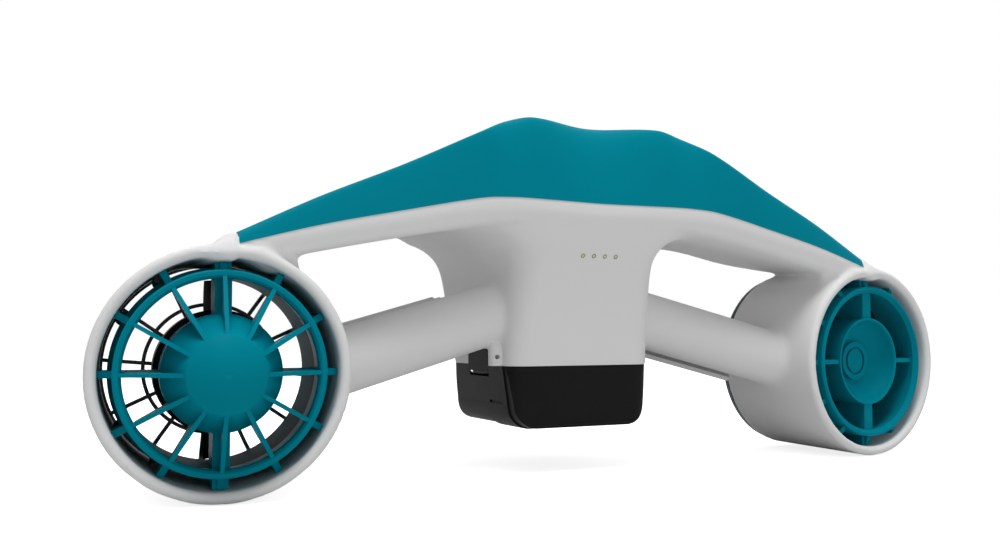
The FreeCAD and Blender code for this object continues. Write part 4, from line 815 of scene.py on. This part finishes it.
parting_slab = rounded_prism(half=56, near=4, far=116, low=-8, high=0, corner=4)
battery_bay = rounded_prism(half=35, near=25, far=92, low=-9, high=40, corner=6)
latch_notches = [rounded_prism(half=3, near=45, far=70.8, low=-9, high=9.6, corner=0.6,
                               middle=43 * sign) for sign in (-1, 1)]
tooth_slots = [rounded_prism(half=1.2, near=49.4, far=66.4, low=5.4, high=8.2, corner=0.3,
                             middle=39.6 * sign) for sign in (-1, 1)]
lanyard_bars = [lanyard_bar(sign) for sign in (-1, 1)]
tools = [[parting_slab], [battery_bay], latch_notches, tooth_slots, lanyard_bars]
body = bpy.data.objects.new("white_body", build_mesh("white_body", [(net_points, net_quads)],
                                                     tidy=False))
bpy.context.scene.collection.objects.link(body)
for sheets in tools:
    print("after a cut:", cut_with(body, sheets), "faces")
mesh = body.data
bpy.data.objects.remove(body)
finish_piece("white_body", mesh, FINISHES["white_shell"], "frame",
             ("hull_shell", "tower", "left_duct", "right_duct", "left_grip", "right_grip"), 40)

# %% [markdown]
# ## The teal cover
#
# The cover is one pressed-looking sheet with two soft humps. It is a surface of two parameters:
# across, and from the near edge over the ridge to the far edge. Its lower edge turns in a
# little, and a floor closes it over the pale body.

# %% Teal cover


def cover_sheets(columns=201, face_rows=28, back_rows=64):
    """Points (x, near to ridge evenly, ridge to far edge ever wider apart, cover height)."""
    across = np.linspace(-ACROSS[-1], ACROSS[-1], columns)
    cut = wing_at(across)
    rise = np.linspace(0, 1, face_rows)[:, None]
    fall = np.linspace(0, 1, back_rows)[1:, None] ** 1.5
    along = np.concatenate((cut["near"] + rise * (cut["ridge_at"] - cut["near"]),
                            cut["ridge_at"] + fall * (cut["far"] - cut["ridge_at"])))
    up = cover_height(cut, along)
    points = np.stack((np.broadcast_to(across, along.shape), along, up), -1)
    edge = points[0] + np.array((0, 0.35, 0))
    tail = points[-1] - np.array((0, 0.35, 0))
    shade = np.stack((edge, tail))
    top = np.concatenate((edge[None], points, tail[None]))
    ends = [sheet(np.stack((top[:, index], np.column_stack((
        top[:, index, 0], top[:, index, 1],
        seam_height({part: value[index] for part, value in cut.items()}, top[:, index, 1]))))))
        for index in (0, -1)]
    return [sheet(top), sheet(shade)] + ends


finish_piece("top_cover", build_mesh("top_cover", cover_sheets()), FINISHES["teal_shell"],
             "frame", ("top_shell",), 40)

# %% [markdown]
# ## Charge lights
#
# Four small lights sit in the tower's near face. Each is a shallow pale dome in a thin olive rim,
# turned round the normal of the body's surface at that place, so it neither floats nor sinks.

# %% Lights in the tower's face


LIGHT_PITCH, LIGHT_SHIFT, LIGHT_HEIGHT = 6.7, 1.7, 57.4


def light_spots():
    """Places on the body's near face, found by halving, with the outward normal there."""
    across = (np.arange(4) - 1.5) * LIGHT_PITCH + LIGHT_SHIFT
    level = np.full(4, LIGHT_HEIGHT)
    outside, inside = np.full(4, -12.0), np.full(4, 20.0)
    for _ in range(40):
        middle = (outside + inside) / 2
        free = body_field(across, middle, level) > 0
        outside, inside = np.where(free, middle, outside), np.where(free, inside, middle)
    spots = np.stack((across, inside, level), -1)
    slope = slope_of(spots)
    return spots, slope / np.linalg.norm(slope, axis=-1, keepdims=True)


def turned_spot(spot, normal, profile, columns=24):
    """Profile of (radius, height) pairs carried round the normal of a spot."""
    side = np.cross(normal, (0, 0, 1.0))
    side /= np.linalg.norm(side)
    up = np.cross(side, normal)
    angle = np.linspace(0, 2 * math.pi, columns, endpoint=False)[:, None]
    ring = np.cos(angle) * side + np.sin(angle) * up
    profile = np.asarray(profile, float)
    return spot + profile[:, None, :1] * ring + profile[:, None, 1:] * normal


RIM = [(0.86, -0.6), (0.86, 0.08), (0.95, 0.18), (1.1, 0.2), (1.22, 0.12), (1.26, -0.6)]
DOME = [(0.001, 0.16), (0.3, 0.15), (0.55, 0.12), (0.75, 0.07), (0.87, 0.0), (0.87, -0.5),
        (0.001, -0.5)]
spots, normals = light_spots()
for name, profile, replaced in (("light_rims", RIM, ()),
                                ("light_domes", DOME, ("gauge_lenses",))):
    sheets = [sheet(turned_spot(spot, normal, profile + profile[:1]), wrap_columns=True)
              for spot, normal in zip(spots, normals)]
    finish_piece(name, build_mesh(name, sheets), OWN_FINISHES.get(name, FINISHES["gauge_lens"]),
                 "frame", replaced)
